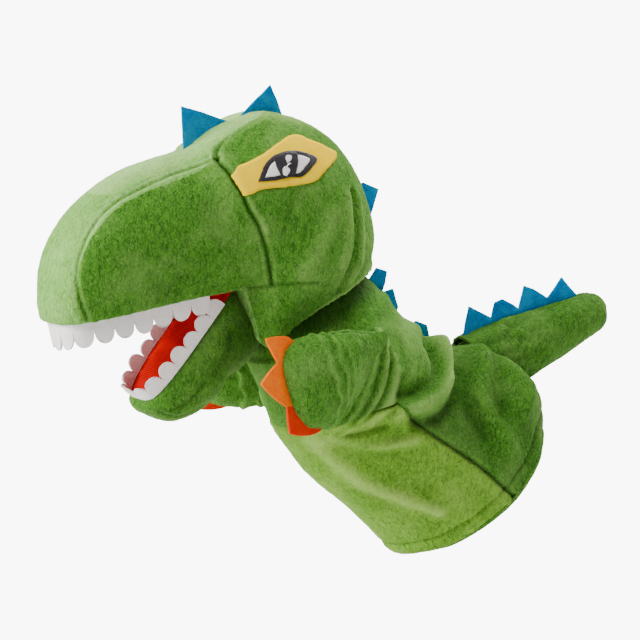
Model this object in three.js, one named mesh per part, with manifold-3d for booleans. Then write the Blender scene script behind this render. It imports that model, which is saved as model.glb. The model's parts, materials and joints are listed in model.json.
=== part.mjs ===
// A moving-mouth hand puppet: a plush dinosaur head with a hinged jaw on a fabric hand sleeve.
// Millimetres, +Z up. The puppet faces -Y and its own left is +X, so X = 0 is its plane of symmetry.
// The origin is the centre of the hand opening at the hem, with the sleeve leaning forward as it is worn.
import * as THREE from "three";
import { mergeVertices } from "three/addons/utils/BufferGeometryUtils.js";
import Module from "manifold-3d";

const wasm = await Module();
wasm.setup();

// ---------------------------------------------------------------- driving dimensions
const FABRIC = 2.6; // plush cloth with its pile
const FELT = 1.6; // spikes, claws and teeth
const LINING = 1.2; // thin cloth of the mouth and the pockets
const BOARD = 2; // card that stiffens each palate
const GAP = 0.4; // between pieces that are sewn or laid together
const SEAM = 0.5; // between neighbouring panels of one skin

const SLEEVE_LENGTH = 153; // hem to neck, along the sleeve
const SLEEVE_TILT = 40; // degrees from upright
const SLEEVE_WIDTH = 98;
const HEM_DEPTH = 121; // front to back at the hem
const HEM_FOLD = 12; // height of the turned-in hem
const SIDE_SEAM_TOP = -28; // where the side seam meets the neck and the hem, measured towards the back
const SIDE_SEAM_HEM = 8;

const NECK_TURN_ROOM = 18; // open band between the sleeve's rim and the head's rim
const NECK_ZONE = 28; // degrees of the neck ball that the neck cloth covers, each way

const HINGE_RISE = 65.8; // mouth hinge beyond the sleeve's length, along the sleeve
const HINGE_FORWARD = 42.9; // and forward of the sleeve's middle line
const CROWN_REACH = 116; // hinge to the top of the head
const CROWN_WIDTH = 110;
const THROAT_DEPTH = 46; // hinge down to the throat
const THROAT_ANGLE = -70.4; // direction of the throat seam, degrees from +Y
const SNOUT_LENGTH = 114; // hinge to the front of the upper mouth
const SNOUT_HEIGHT = 89;
const SNOUT_WIDTH = 77;
const SNOUT_SLOPE = 10; // how far the upper mouth slopes down to the front, degrees
const GUSSET_WIDTH = 54; // strip over the top and front of the snout
const NAPE_HEIGHT = 15; // panel between the cheeks and the neck

const MOUTH_WIDTH = 63;
const JAW_LENGTH = 90;
const JAW_WIDTH = 57;
const JAW_ANGLE = 52; // lower palate below the horizontal, degrees
const JAW_DEPTH = 58; // at the throat
const HINGE_FOLD_RADIUS = 2.4;
const HINGE_CLEARANCE = 4.2; // pieces of the jaw start this far from the hinge line

const FINGER_ROOM = [50, 86, 22]; // width, length and height of the finger pocket's inside
const THUMB_ROOM = [38, 62, 19];
const PALM_ROOM = [36, 36, 33]; // half-sizes of the hollow for the knuckles

const UPPER_TOOTH = 19;
const LOWER_TOOTH = 13.5;
const UPPER_TEETH = 17; // scallops round each strip
const LOWER_TEETH = 15;

const ARM_LENGTH = 60;
const ARM_WIDTH = 61;
const ARM_THICKNESS = 27;
const ARM_DROP = 20.5; // middle of the shoulder seam below the sleeve's top, along the sleeve
const ARM_FORWARD = 27.2; // and forward of the sleeve's middle line
const ARM_SPREAD = 20; // how far the arm points away from the side, degrees
const SHOULDER_TILT = 26; // shoulder seam from upright, its top towards the back, degrees
const CLAW_TILT = -16; // the same for the line of the claws
const CLAW = 12;

const TAIL_LENGTH = 72; // pivot to tip
const TAIL_RADIUS = 21;
const TAIL_TIP_RADIUS = 13.5;
const TAIL_SLOPE = 20.8;
const TAIL_RISE = 49; // the tail's pivot above the hem, along the sleeve
const TAIL_PATCH_ANGLE = 56; // half-angle of the cloth cap that closes the tail's root

const HEAD_SPIKE = 29;
const BACK_SPIKE = 13;
const TAIL_SPIKE = 15;

const EYE_PATCH = [73, 33]; // length and height
const EYE_PLACE = [26.5, 77]; // its middle behind and above the mouth hinge
const RING = 24; // points round the head and the jaw, a multiple of 4
const SMALL_RING = 16; // and round the sleeve, the arms and the tail
const PALATE_SQUARENESS = 4.5; // how blunt the U of the mouth is; 2 would be an ellipse

// ---------------------------------------------------------------- small geometry tools
const rad = THREE.MathUtils.degToRad;
const X_AXIS = new THREE.Vector3(1, 0, 0);
const MIN_RADIUS = 0.6;
const clampPower = (value, power) => Math.sign(value) * Math.abs(value) ** power;
const along = ([y, z], degrees, distance) => [
  y + distance * Math.cos(rad(degrees)),
  z + distance * Math.sin(rad(degrees)),
];
const sleevePoint = (up, back) => along(along([0, 0], 90 + SLEEVE_TILT, up), SLEEVE_TILT, back);
const HINGE = sleevePoint(SLEEVE_LENGTH + HINGE_RISE, -HINGE_FORWARD);
const midPoint = (a, b) => [(a[0] + b[0]) / 2, (a[1] + b[1]) / 2];

// A closed triangle mesh as a solid, turned so that its faces point out.
function solidOf(geometry) {
  const bare = geometry.index ? geometry.toNonIndexed() : geometry.clone();
  bare.deleteAttribute("normal");
  bare.deleteAttribute("uv");
  const merged = mergeVertices(bare, 1e-4);
  const points = merged.attributes.position.array;
  const corners = [];
  for (let k = 0; k < merged.index.count; k += 3) {
    const [a, b, c] = merged.index.array.subarray(k, k + 3);
    if (a !== b && b !== c && c !== a) corners.push(a, b, c);
  }
  const triVerts = new Uint32Array(corners);
  if (signedVolume(points, triVerts) < 0) triVerts.reverse();
  return new wasm.Manifold(new wasm.Mesh({ numProp: 3, vertProperties: points, triVerts }));
}

function signedVolume(points, triangles) {
  const corner = (k) => new THREE.Vector3().fromArray(points, 3 * triangles[k]);
  let sum = 0;
  for (let k = 0; k < triangles.length; k += 3) {
    sum += corner(k).dot(corner(k + 1).cross(corner(k + 2)));
  }
  return sum;
}

function geometryOf(solid) {
  const mesh = solid.getMesh();
  const points = new Float32Array(mesh.numVert * 3);
  for (let k = 0; k < mesh.numVert; k++) {
    points.set(mesh.vertProperties.subarray(k * mesh.numProp, k * mesh.numProp + 3), 3 * k);
  }
  const geometry = new THREE.BufferGeometry();
  geometry.setAttribute("position", new THREE.BufferAttribute(points, 3));
  geometry.setIndex(new THREE.BufferAttribute(new Uint32Array(mesh.triVerts), 1));
  geometry.computeVertexNormals();
  return geometry;
}

// The largest body of a solid: cuts that only graze a piece leave slivers of no volume beside it.
function mainBody(solid) {
  return solid.decompose().reduce((best, body) => (body.volume() > best.volume() ? body : best));
}

function mirrored(solid) {
  return solidOf(geometryOf(solid).applyMatrix4(new THREE.Matrix4().makeScale(-1, 1, 1)));
}

// A closed skin over rings of points, with a fan of triangles over each end.
function loft(rings) {
  const count = rings[0].length;
  const points = rings.flat();
  const triangles = [];
  for (let r = 0; r + 1 < rings.length; r++) {
    for (let k = 0; k < count; k++) {
      const a = r * count + k;
      const b = r * count + ((k + 1) % count);
      triangles.push(a, b, b + count, a, b + count, a + count);
    }
  }
  for (const [r, turn] of [[0, 1], [rings.length - 1, -1]]) {
    const middle = new THREE.Vector3();
    rings[r].forEach((p) => middle.addScaledVector(p, 1 / count));
    const hub = points.push(middle) - 1;
    for (let k = 0; k < count; k++) {
      const edge = [r * count + ((k + 1) % count), r * count + k];
      if (turn < 0) edge.reverse();
      triangles.push(hub, ...edge);
    }
  }
  const geometry = new THREE.BufferGeometry().setFromPoints(points);
  geometry.setIndex(triangles);
  return solidOf(geometry);
}

// An oval ring in the plane that holds X and the line from `low` to `high`, two [y, z] points.
// A squareness of 2 is an ellipse, and more is boxier; `inset` draws the ring in all round.
// Where `base` is given, the low side is flat and that wide each way, as at the edge of the mouth.
function oval({ low, high, half, base, lowSquare = 2, highSquare = 2, points = RING }, inset = 0) {
  const [cy, cz] = midPoint(low, high);
  const across = new THREE.Vector2(high[0] - low[0], high[1] - low[1]);
  const reach = Math.max(MIN_RADIUS, across.length() / 2 - inset);
  const wide = Math.max(MIN_RADIUS, half - inset);
  across.normalize();
  return Array.from({ length: points }, (_, k) => {
    const angle = (2 * Math.PI * k) / points;
    const power = 2 / (Math.sin(angle) > 0 ? highSquare : lowSquare);
    let x = wide * clampPower(Math.cos(angle), power);
    let w = reach * clampPower(Math.sin(angle), power);
    if (base && Math.sin(angle) < -1e-6) {
      [x, w] = flatSide(k, wide, reach, Math.max(MIN_RADIUS, base - inset));
    }
    return new THREE.Vector3(x, cy + across.x * w, cz + across.y * w);
  });
}

// The flat-sided lower half of an oval: down the side to a corner, and then in along the base.
function flatSide(k, wide, reach, base) {
  const quarter = RING / 4;
  const fromBottom = (k - 3 * quarter) / quarter;
  const share = 1 - Math.abs(fromBottom);
  const sign = Math.sign(fromBottom) || 1;
  const corner = 0.67;
  if (share <= corner) {
    const down = share / corner;
    return [sign * (wide - (wide - base) * down ** 2), -reach * down];
  }
  return [sign * base * (1 - (share - corner) / (1 - corner)), -reach];
}

// Moves an end station of a form outwards, or inwards where the distance is below zero.
function shifted(station, next, distance) {
  const here = midPoint(station.low, station.high);
  const there = midPoint(next.low, next.high);
  const way = new THREE.Vector2(here[0] - there[0], here[1] - there[1]).setLength(distance);
  const sign = Math.sign(distance) || 1;
  const move = ([y, z]) => [y + sign * Math.abs(way.x) * Math.sign(here[0] - there[0] || 1),
    z + sign * Math.abs(way.y) * Math.sign(here[1] - there[1] || 1)];
  return { ...station, low: move(station.low), high: move(station.high) };
}

// The solid form through the stations, drawn in by `inset`, with its ends moved out or in.
function form(stations, inset = 0, startMove = -inset, endMove = -inset) {
  const last = stations.length - 1;
  const moved = stations.map((station, k) => {
    if (k === 0) return shifted(station, stations[1], startMove);
    if (k === last) return shifted(station, stations[last - 1], endMove);
    return station;
  });
  return loft(moved.map((station) => oval(station, inset)));
}

// All space on one side of a plane through [y, z] point `on`, parallel to X.
// It is the side that `facing`, in degrees, points to.
function halfSpace(on, facing, offset = 0) {
  const size = 900;
  const box = new THREE.BoxGeometry(size, size, size);
  const [y, z] = along(on, facing, size / 2 + offset);
  box.applyMatrix4(new THREE.Matrix4().makeRotationX(rad(facing)).setPosition(0, y, z));
  return solidOf(box);
}

// All space with x between two values.
function slice(from, to) {
  const box = new THREE.BoxGeometry(to - from, 1200, 1200);
  return solidOf(box.translate((from + to) / 2, 0, 0));
}

function ball([y, z], radius, scale = [1, 1, 1], segments = 20) {
  const sphere = new THREE.SphereGeometry(radius, segments, segments / 2);
  return solidOf(sphere.scale(...scale).translate(0, y, z));
}

function rod([y, z], radius, length) {
  const cylinder = new THREE.CylinderGeometry(radius, radius, length, 12);
  return solidOf(cylinder.rotateZ(Math.PI / 2).translate(0, y, z));
}

// A felt strip: each station has a sewn edge point, a reach to its free edge, and a thickness direction.
function strip(stations, thickness) {
  const rings = stations.map(({ edge, reach, side }) => {
    const half = side.clone().setLength(thickness / 2);
    const tip = edge.clone().add(reach);
    return [
      edge.clone().add(half),
      tip.clone().add(half),
      tip.clone().sub(half),
      edge.clone().sub(half),
    ];
  });
  return loft(rings);
}

// Height of a row of points or scallops at a share of its length, from 0 to 1.
const zigzag = (share, count) => 1 - Math.abs(2 * ((share * count) % 1) - 1);
const scallop = (share, count) => Math.sqrt(Math.max(0, 1 - (2 * ((share * count) % 1) - 1) ** 2));

const root = new THREE.Group();
const FINISH = {
  plush: { color: 0x5c8e34, roughness: 0.95 },
  belly: { color: 0x74a648, roughness: 0.95 },
  blueFelt: { color: 0x0f8cb4, roughness: 0.9 },
  orangeFelt: { color: 0xffa21f, roughness: 0.9 },
  whiteFelt: { color: 0xe6dcd8, roughness: 0.85 },
  satin: { color: 0xfbc928, roughness: 0.6 },
  black: { color: 0x120a12, roughness: 0.6 },
  red: { color: 0xd3101c, roughness: 0.8 },
  card: { color: 0xb8a27c, roughness: 0.9 },
  fibre: { color: 0xf0efe8, roughness: 1 },
  white: { color: 0xf2efe9, roughness: 0.6 },
};

function place(name, solid, finish) {
  const material = new THREE.MeshStandardMaterial({ ...FINISH[finish], metalness: 0 });
  const mesh = new THREE.Mesh(geometryOf(solid), material);
  mesh.name = name;
  root.add(mesh);
}

// ---------------------------------------------------------------- head form
const mouthPoint = (distance, lift = 0) =>
  along(along(HINGE, 180 + SNOUT_SLOPE, distance), 90 + SNOUT_SLOPE, lift);

const mouthEdge = MOUTH_WIDTH / 2 + FABRIC;

// The back of the head fans round the hinge, from the nape to the brow.
const crownStation = ([fan, reach, throat, mouth, width]) => ({
  low: throat > 0 ? along(HINGE, THROAT_ANGLE, throat * THROAT_DEPTH) : mouthPoint(mouth * SNOUT_LENGTH),
  high: along(HINGE, fan, reach * CROWN_REACH),
  half: (width * CROWN_WIDTH) / 2,
  base: throat > 0 ? 0 : mouthEdge,
  lowSquare: 2.3,
});

// Fan angle, reach, share of the throat, share of the snout, share of the width.
const CROWN = [
  [5.5, 0.92, 0.82, 0, 0.89],
  [15, 0.945, 0.6, 0, 0.96],
  [27, 0.965, 0.3, 0, 1],
  [39, 0.985, 0.05, 0, 1],
  [52, 1, 0, 0.004, 0.99],
  [66, 0.985, 0, 0.02, 0.965],
  [79, 0.925, 0, 0.06, 0.91],
  [91, 0.845, 0, 0.13, 0.84],
].map(crownStation);

// The snout runs forward from the brow: share of its length, height and width.
const snoutStation = ([share, height, width]) => {
  const low = mouthPoint(share * SNOUT_LENGTH);
  return {
    low,
    high: along(low, THREE.MathUtils.lerp(86, 95, share), height * SNOUT_HEIGHT),
    half: (width * SNOUT_WIDTH) / 2,
    base: Math.min(mouthEdge, 0.92 * (width * SNOUT_WIDTH) / 2),
    highSquare: 2.2,
  };
};
const SNOUT = [
  [0.25, 1, 1.07],
  [0.4, 0.98, 1.02],
  [0.55, 0.95, 1],
  [0.7, 0.865, 0.97],
  [0.82, 0.75, 0.91],
  [0.91, 0.6, 0.82],
  [0.965, 0.44, 0.7],
  [1, 0.29, 0.52],
].map(snoutStation);
const HEAD = [...CROWN, ...SNOUT];

// The neck is a ball joint of cloth: its middle lies half the open band below the head's rim.
const headRim = HEAD[0];
const neckTilt = THREE.MathUtils.radToDeg(
  Math.atan2(headRim.high[1] - headRim.low[1], headRim.high[0] - headRim.low[0]),
);
const neckUp = neckTilt + 90;
const NECK = along(midPoint(headRim.low, headRim.high), neckUp, -NECK_TURN_ROOM / 2);
const neckHalf = SLEEVE_WIDTH / 2;
const neckRadius = neckHalf - FABRIC - 0.8;

const neckBall = ball(NECK, neckRadius + 1.8);
const hingeRoom = rod(HINGE, HINGE_FOLD_RADIUS + GAP, 2 * CROWN_WIDTH);

// ---------------------------------------------------------------- palates and pockets
// A flat slab with a blunt U outline that starts at the hinge, between two heights off a palate plane.
function slab({ width, length, start }, angle, from, to) {
  const outline = [];
  const steps = 18;
  for (let k = 0; k <= steps; k++) {
    const turn = Math.PI * (k / steps) - Math.PI / 2;
    outline.push(new THREE.Vector2(
      (width / 2) * clampPower(Math.sin(turn), 2 / PALATE_SQUARENESS),
      length * clampPower(Math.max(0, Math.cos(turn)), 2 / PALATE_SQUARENESS),
    ));
  }
  outline[0].y = start;
  outline[steps].y = start;
  const geometry = new THREE.ExtrudeGeometry(new THREE.Shape(outline), {
    depth: to - from,
    bevelEnabled: false,
  });
  const forward = new THREE.Vector3(0, Math.cos(rad(angle)), Math.sin(rad(angle)));
  const up = new THREE.Vector3().crossVectors(forward, X_AXIS);
  const basis = new THREE.Matrix4().makeBasis(X_AXIS, forward, up);
  basis.setPosition(up.clone().multiplyScalar(from).add(new THREE.Vector3(0, ...HINGE)));
  return solidOf(geometry.applyMatrix4(basis));
}
const upperAngle = 180 + SNOUT_SLOPE;
const lowerAngle = 180 + JAW_ANGLE;

const mouthOutline = (draw) => ({
  width: MOUTH_WIDTH - 2 * draw,
  length: SNOUT_LENGTH - 2 - draw,
  start: HINGE_FOLD_RADIUS + GAP,
});
const jawOutline = (draw) => ({
  width: JAW_WIDTH - 2 * draw,
  length: JAW_LENGTH - draw,
  start: HINGE_CLEARANCE,
});
const liningTop = GAP + LINING;
const boardTop = liningTop + GAP + BOARD;
const pocketFloor = boardTop + GAP;

// A pocket: a cloth tunnel that is open at the hinge end.
function pocket([width, length, height], start, angle, side) {
  const outside = { width: width + 2 * LINING, length: length + LINING, start };
  const inside = { width, length, start: start - 10 };
  const levels = (low, high) => (side > 0 ? [low, high] : [-high, -low]);
  const floor = pocketFloor + LINING;
  return {
    cloth: slab(outside, angle, ...levels(pocketFloor, floor + height + LINING))
      .subtract(slab(inside, angle, ...levels(floor, floor + height))),
    room: slab({ width: outside.width + 2 * GAP, length: outside.length + GAP, start: start - 14 },
      angle, ...levels(pocketFloor - GAP, floor + height + LINING + GAP)),
  };
}
const fingerPocket = pocket(FINGER_ROOM, HINGE_FOLD_RADIUS + GAP, upperAngle, 1);
const thumbPocket = pocket(THUMB_ROOM, HINGE_CLEARANCE, lowerAngle, -1);

const palmRoom = ball(along(HINGE, 13, PALM_ROOM[1] + 6), 1, PALM_ROOM);
const thumbDoor = slab(
  { width: THUMB_ROOM[0] + 4, length: 30, start: -45 },
  THROAT_ANGLE + 90 + 180,
  -THUMB_ROOM[2] - 12,
  -HINGE_FOLD_RADIUS - GAP,
);

// ---------------------------------------------------------------- head
function buildHead() {
  const skinSlot = slab({ ...mouthOutline(0), start: -14 }, upperAngle, -8, boardTop);
  const hollow = neckBall.add(hingeRoom).add(skinSlot).add(thumbDoor);
  const skin = form(HEAD)
    .subtract(form(HEAD, FABRIC, 8, -FABRIC))
    .subtract(hollow);
  const brow = along(HINGE, 98, 46);
  const browFacing = 201;
  const ahead = (offset) =>
    halfSpace(brow, browFacing, offset).intersect(halfSpace(HINGE, 90 + SNOUT_SLOPE, offset - 3));
  const snoutSkin = skin.intersect(ahead(SEAM / 2));
  const backSkin = skin.subtract(ahead(-SEAM / 2));
  const side = GUSSET_WIDTH / 2 + SEAM;
  place("snout_gusset", snoutSkin.intersect(slice(-GUSSET_WIDTH / 2, GUSSET_WIDTH / 2)), "plush");
  place("snout_side_left", snoutSkin.intersect(slice(side, 99)), "plush");
  place("snout_side_right", snoutSkin.intersect(slice(-99, -side)), "plush");

  const napeTop = along(midPoint(headRim.low, headRim.high), neckUp, NAPE_HEIGHT);
  const above = backSkin.intersect(halfSpace(napeTop, neckUp, SEAM / 2));
  place("cheek_left", above.intersect(slice(SEAM / 2, 99)), "plush");
  place("cheek_right", above.intersect(slice(-99, -SEAM / 2)), "plush");
  place("nape_panel", backSkin.intersect(halfSpace(napeTop, neckUp + 180, SEAM / 2)), "plush");

  const slotOutline = { ...mouthOutline(-GAP), start: -HINGE_CLEARANCE };
  const stuffingSlot = slab(slotOutline, upperAngle, -9, boardTop + GAP);
  const room = neckBall.add(palmRoom).add(fingerPocket.room).add(stuffingSlot).add(thumbDoor)
    .add(rod(HINGE, HINGE_CLEARANCE + 2, 2 * CROWN_WIDTH));
  const filling = form(HEAD, FABRIC + GAP, 0, -FABRIC - GAP).subtract(room);
  place("snout_stuffing", filling.intersect(ahead(SEAM / 2)), "fibre");
  const back = filling.subtract(ahead(-SEAM / 2));
  const wall = PALM_ROOM[0] - 3;
  place("cheek_stuffing_left", back.intersect(slice(wall, 99)), "fibre");
  place("cheek_stuffing_right", back.intersect(slice(-99, -wall)), "fibre");
  const middle = back.intersect(slice(-wall + SEAM, wall - SEAM));
  place("crown_stuffing", mainBody(middle.intersect(halfSpace(HINGE, 52, 20))), "fibre");
}

function buildUpperMouth() {
  place("finger_pocket", fingerPocket.cloth, "fibre");
  place("palate_board_upper",
    slab(mouthOutline(FELT + 0.8), upperAngle, liningTop + GAP, boardTop), "card");
  place("mouth_lining_upper", slab(mouthOutline(FELT + 0.8), upperAngle, GAP, liningTop), "red");
  place("mouth_hinge_fold", rod(HINGE, HINGE_FOLD_RADIUS, MOUTH_WIDTH - 2 * FELT), "red");
}

// A row of teeth round the edge of a palate: the strip is sewn in at the edge and stands into the mouth.
function teeth(outline, angle, height, count, level, direction) {
  const forward = new THREE.Vector3(0, Math.cos(rad(angle)), Math.sin(rad(angle)));
  const up = new THREE.Vector3().crossVectors(forward, X_AXIS);
  const place2d = (turn) => new THREE.Vector2(
    (outline.width / 2) * clampPower(Math.sin(turn), 2 / PALATE_SQUARENESS),
    outline.length * clampPower(Math.max(0, Math.cos(turn)), 2 / PALATE_SQUARENESS),
  );
  // Points spaced evenly along the outline, found on a fine version of it.
  const fine = Array.from({ length: 401 }, (_, k) => place2d(Math.PI * (k / 400) - Math.PI / 2))
    .filter((p) => p.y > outline.start);
  const curve = new THREE.Path(fine);
  const steps = count * 4;
  const even = curve.getSpacedPoints(steps);
  const stations = even.map((p, k) => {
    const before = even[Math.max(0, k - 1)];
    const after = even[Math.min(steps, k + 1)];
    const tangent = new THREE.Vector2(after.x - before.x, after.y - before.y).normalize();
    const edge = new THREE.Vector3(0, ...HINGE)
      .addScaledVector(X_AXIS, p.x)
      .addScaledVector(forward, p.y)
      .addScaledVector(up, level);
    const side = X_AXIS.clone().multiplyScalar(tangent.y).addScaledVector(forward, -tangent.x);
    const depth = height * (0.45 + 0.55 * scallop(k / steps, count));
    return { edge, reach: up.clone().multiplyScalar(direction * depth), side };
  });
  return strip(stations, FELT);
}

// ---------------------------------------------------------------- jaw
const jawStation = ([share, depth, fan, width]) => {
  const palate = along(HINGE, lowerAngle, Math.max(HINGE_CLEARANCE, share * JAW_LENGTH));
  return {
    low: palate,
    high: along(palate, fan, depth * JAW_DEPTH),
    half: (width * JAW_WIDTH) / 2,
    base: (width * JAW_WIDTH) / 2,
  };
};
// Share of the length, depth and direction of the underside, share of the width.
const JAW = [
  [0, 1, -88, 1],
  [0.22, 0.93, -83, 1],
  [0.5, 0.74, -72, 1],
  [0.76, 0.55, -60, 0.96],
  [0.9, 0.42, -54, 0.85],
  [0.97, 0.3, -50, 0.68],
  [1.01, 0.18, -47, 0.48],
].map(jawStation);

function buildJaw() {
  const openings = slab({ ...jawOutline(FABRIC), start: -5 }, lowerAngle, -boardTop, 8);
  const skin = form(JAW).subtract(form(JAW, FABRIC, 8, -FABRIC)).subtract(openings);
  const rear = halfSpace(along(HINGE, lowerAngle, HINGE_CLEARANCE), 182);
  place("jaw_skin", skin.intersect(rear), "plush");
  const slot = slab({ ...jawOutline(FABRIC - GAP), start: -5 }, lowerAngle, -boardTop - GAP, 8);
  const filling = form(JAW, FABRIC + GAP, -0.5, -FABRIC - GAP)
    .subtract(slot).subtract(thumbPocket.room);
  place("jaw_stuffing", filling.intersect(rear), "fibre");
  place("thumb_pocket", thumbPocket.cloth.intersect(rear), "fibre");
  place("palate_board_lower",
    slab(jawOutline(FABRIC + FELT + 0.8), lowerAngle, -boardTop, -liningTop - GAP).intersect(rear), "card");
  place("mouth_lining_lower",
    slab(jawOutline(FABRIC + FELT + 0.8), lowerAngle, -liningTop, -GAP).intersect(rear), "red");
  const row = jawOutline(FABRIC + GAP + FELT / 2);
  place("teeth_lower",
    teeth({ ...row, start: 16 }, lowerAngle, LOWER_TOOTH + liningTop, LOWER_TEETH, -liningTop, 1),
    "whiteFelt");
}

// ---------------------------------------------------------------- eyes and head spikes
// A cloth patch on the side of the head: the outline in [y, z], cut from a layer just off the skin.
function patch(outline, lift, thickness) {
  const layer = form(HEAD, -lift - thickness).subtract(form(HEAD, -lift));
  const shape = new THREE.Shape(outline);
  const depth = CROWN_WIDTH;
  const geometry = new THREE.ExtrudeGeometry(shape, { depth, bevelEnabled: false, curveSegments: 16 });
  const basis = new THREE.Matrix4().makeBasis(
    new THREE.Vector3(0, 1, 0), new THREE.Vector3(0, 0, 1), X_AXIS);
  basis.setPosition(12, 0, 0);
  return layer.intersect(solidOf(geometry.applyMatrix4(basis)));
}

// An almond outline on the side of the head, leaning down to the front.
function almond([length, height], lean, points = 20) {
  const [cy, cz] = [HINGE[0] + EYE_PLACE[0], HINGE[1] + EYE_PLACE[1]];
  return Array.from({ length: points }, (_, k) => {
    const angle = (2 * Math.PI * k) / points;
    const y = (length / 2) * Math.cos(angle);
    const z = (height / 2) * clampPower(Math.sin(angle), 1.25);
    return new THREE.Vector2(
      cy + y * Math.cos(rad(lean)) - z * Math.sin(rad(lean)),
      cz + y * Math.sin(rad(lean)) + z * Math.cos(rad(lean)),
    );
  });
}

function buildEyes() {
  const [length, height] = EYE_PATCH;
  const layers = [
    ["eye_patch", almond(EYE_PATCH, 4), GAP, 1, "satin"],
    ["eye_outline", almond([0.62 * length, 0.6 * height], 6), 2 * GAP + 1, 0.8, "black"],
    ["eye_white", almond([0.5 * length, 0.42 * height], 6), 3 * GAP + 1.8, 0.6, "white"],
    ["eye_iris", almond([0.3 * height, 0.36 * height], 0, 12), 4 * GAP + 2.4, 0.6, "black"],
  ];
  for (const [name, outline, lift, thickness, finish] of layers) {
    const left = patch(outline, lift, thickness);
    place(`${name}_left`, left, finish);
    place(`${name}_right`, mirrored(left), finish);
  }
}

// A crest on the plane of symmetry: `line` gives [y, z] at a share of its length, `rise` the height there.
function crest(line, rise, steps) {
  const stations = Array.from({ length: steps + 1 }, (_, k) => {
    const share = k / steps;
    const [y, z] = line(share);
    const [y1, z1] = line(Math.min(1, share + 0.01));
    const [y0, z0] = line(Math.max(0, share - 0.01));
    const out = new THREE.Vector3(0, z0 - z1, y1 - y0).normalize();
    return {
      edge: new THREE.Vector3(0, y, z),
      reach: out.multiplyScalar(Math.max(1.2, rise(share))),
      side: X_AXIS,
    };
  });
  return strip(stations, FELT);
}

// Points on the top line of the head, moved clear of the skin.
function topLine(from, to, lift) {
  const curve = new THREE.SplineCurve(HEAD.map(({ high }) => new THREE.Vector2(...high)));
  return (share) => {
    const t = THREE.MathUtils.lerp(from, to, share);
    const p = curve.getPoint(t);
    const q = curve.getTangent(t);
    return [p.x + lift * q.y, p.y - lift * q.x];
  };
}

function buildHeadSpikes() {
  // Two tall points stand on the crown, and a small one at the back of the head.
  const forwards = topLine(0.52, 0.32, GAP + 0.6);
  const twoPeaks = (share) => HEAD_SPIKE * zigzag(share, 2) * (0.86 + 0.14 * share);
  place("head_spikes", crest(forwards, twoPeaks, 8), "blueFelt");
  const nape = topLine(0.155, 0.075, GAP + 0.6);
  place("nape_spike", crest(nape, (share) => BACK_SPIKE * zigzag(share, 1), 4), "blueFelt");
}

// ---------------------------------------------------------------- sleeve
// Share of the length, front, back, share of the width. The front and back are shares of the hem's depth.
const sleeveStation = ([share, front, back, width]) => ({
  low: sleevePoint(share * SLEEVE_LENGTH, front * HEM_DEPTH),
  high: sleevePoint(share * SLEEVE_LENGTH, back * HEM_DEPTH),
  half: (width * SLEEVE_WIDTH) / 2,
  lowSquare: 2.2,
  highSquare: 2.2,
  points: SMALL_RING,
});
const sleeveTop = along(NECK, neckUp, -NECK_TURN_ROOM / 2);
const sleeveTopReach = neckHalf + 1.5;
const SLEEVE_SHAPE = [
  [0, -0.48, 0.52, 0.95],
  [0.13, -0.485, 0.535, 0.98],
  [0.3, -0.5, 0.465, 1],
  [0.45, -0.515, 0.385, 1],
  [0.62, -0.525, 0.31, 0.99],
  [0.8, -0.54, 0.275, 0.975],
];
const SLEEVE = [
  ...SLEEVE_SHAPE.map(sleeveStation),
  {
    low: along(sleeveTop, neckTilt, -sleeveTopReach),
    high: along(sleeveTop, neckTilt, sleeveTopReach),
    half: neckHalf,
    points: SMALL_RING,
  },
];

function buildSleeve() {
  const shell = form(SLEEVE).subtract(form(SLEEVE, FABRIC, 8, 8));
  const seamHem = sleevePoint(0, SIDE_SEAM_HEM);
  const seamTop = sleevePoint(SLEEVE_LENGTH, SIDE_SEAM_TOP);
  const seamAngle = THREE.MathUtils.radToDeg(
    Math.atan2(seamTop[1] - seamHem[1], seamTop[0] - seamHem[0]));
  const back = shell.intersect(halfSpace(seamHem, seamAngle - 90, SEAM / 2));
  place("torso_back_left", back.intersect(slice(SEAM / 2, 99)), "plush");
  place("torso_back_right", back.intersect(slice(-99, -SEAM / 2)), "plush");
  place("torso_belly", shell.intersect(halfSpace(seamHem, seamAngle + 90, SEAM / 2)), "belly");

  const inside = FABRIC + GAP;
  const hem = form(SLEEVE, inside, -0.5, 0).subtract(form(SLEEVE, inside + FABRIC, 8, 8));
  const hemTop = sleevePoint(HEM_FOLD, 0);
  place("hem_band", hem.intersect(halfSpace(hemTop, 270 + SLEEVE_TILT)), "plush");
}

function buildBackSpikes() {
  const curve = new THREE.SplineCurve(SLEEVE.map(({ high }) => new THREE.Vector2(...high)));
  const line = (share) => {
    const t = THREE.MathUtils.lerp(0.62, 0.985, share);
    const p = curve.getPoint(t);
    const q = curve.getTangent(t);
    return [p.x + (GAP + 0.6) * q.y, p.y - (GAP + 0.6) * q.x];
  };
  place("back_spikes", crest((share) => line(1 - share), (share) => BACK_SPIKE * zigzag(share, 4), 16),
    "blueFelt");
}

// A zone of a ball: the cloth that closes the neck, and the cap that closes the tail's root.
function ballZone(centre, radius, thickness, axisAngle, fromLatitude, toLatitude) {
  const steps = 4;
  const arc = (r) => Array.from({ length: steps + 1 }, (_, k) => {
    const latitude = rad(THREE.MathUtils.lerp(fromLatitude, toLatitude, k / steps));
    return new THREE.Vector2(Math.max(0, r * Math.cos(latitude)), r * Math.sin(latitude));
  });
  const inner = arc(radius - thickness).reverse();
  const profile = [...inner, ...arc(radius)];
  if (toLatitude < 90) profile.push(inner[0].clone());
  const geometry = new THREE.LatheGeometry(profile, 24);
  geometry.applyMatrix4(new THREE.Matrix4().makeRotationX(rad(axisAngle)));
  return solidOf(geometry.translate(0, ...centre));
}

function buildNeck() {
  place("neck_sleeve",
    ballZone(NECK, neckRadius, FABRIC, neckUp, -NECK_ZONE, NECK_ZONE), "plush");
}

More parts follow.
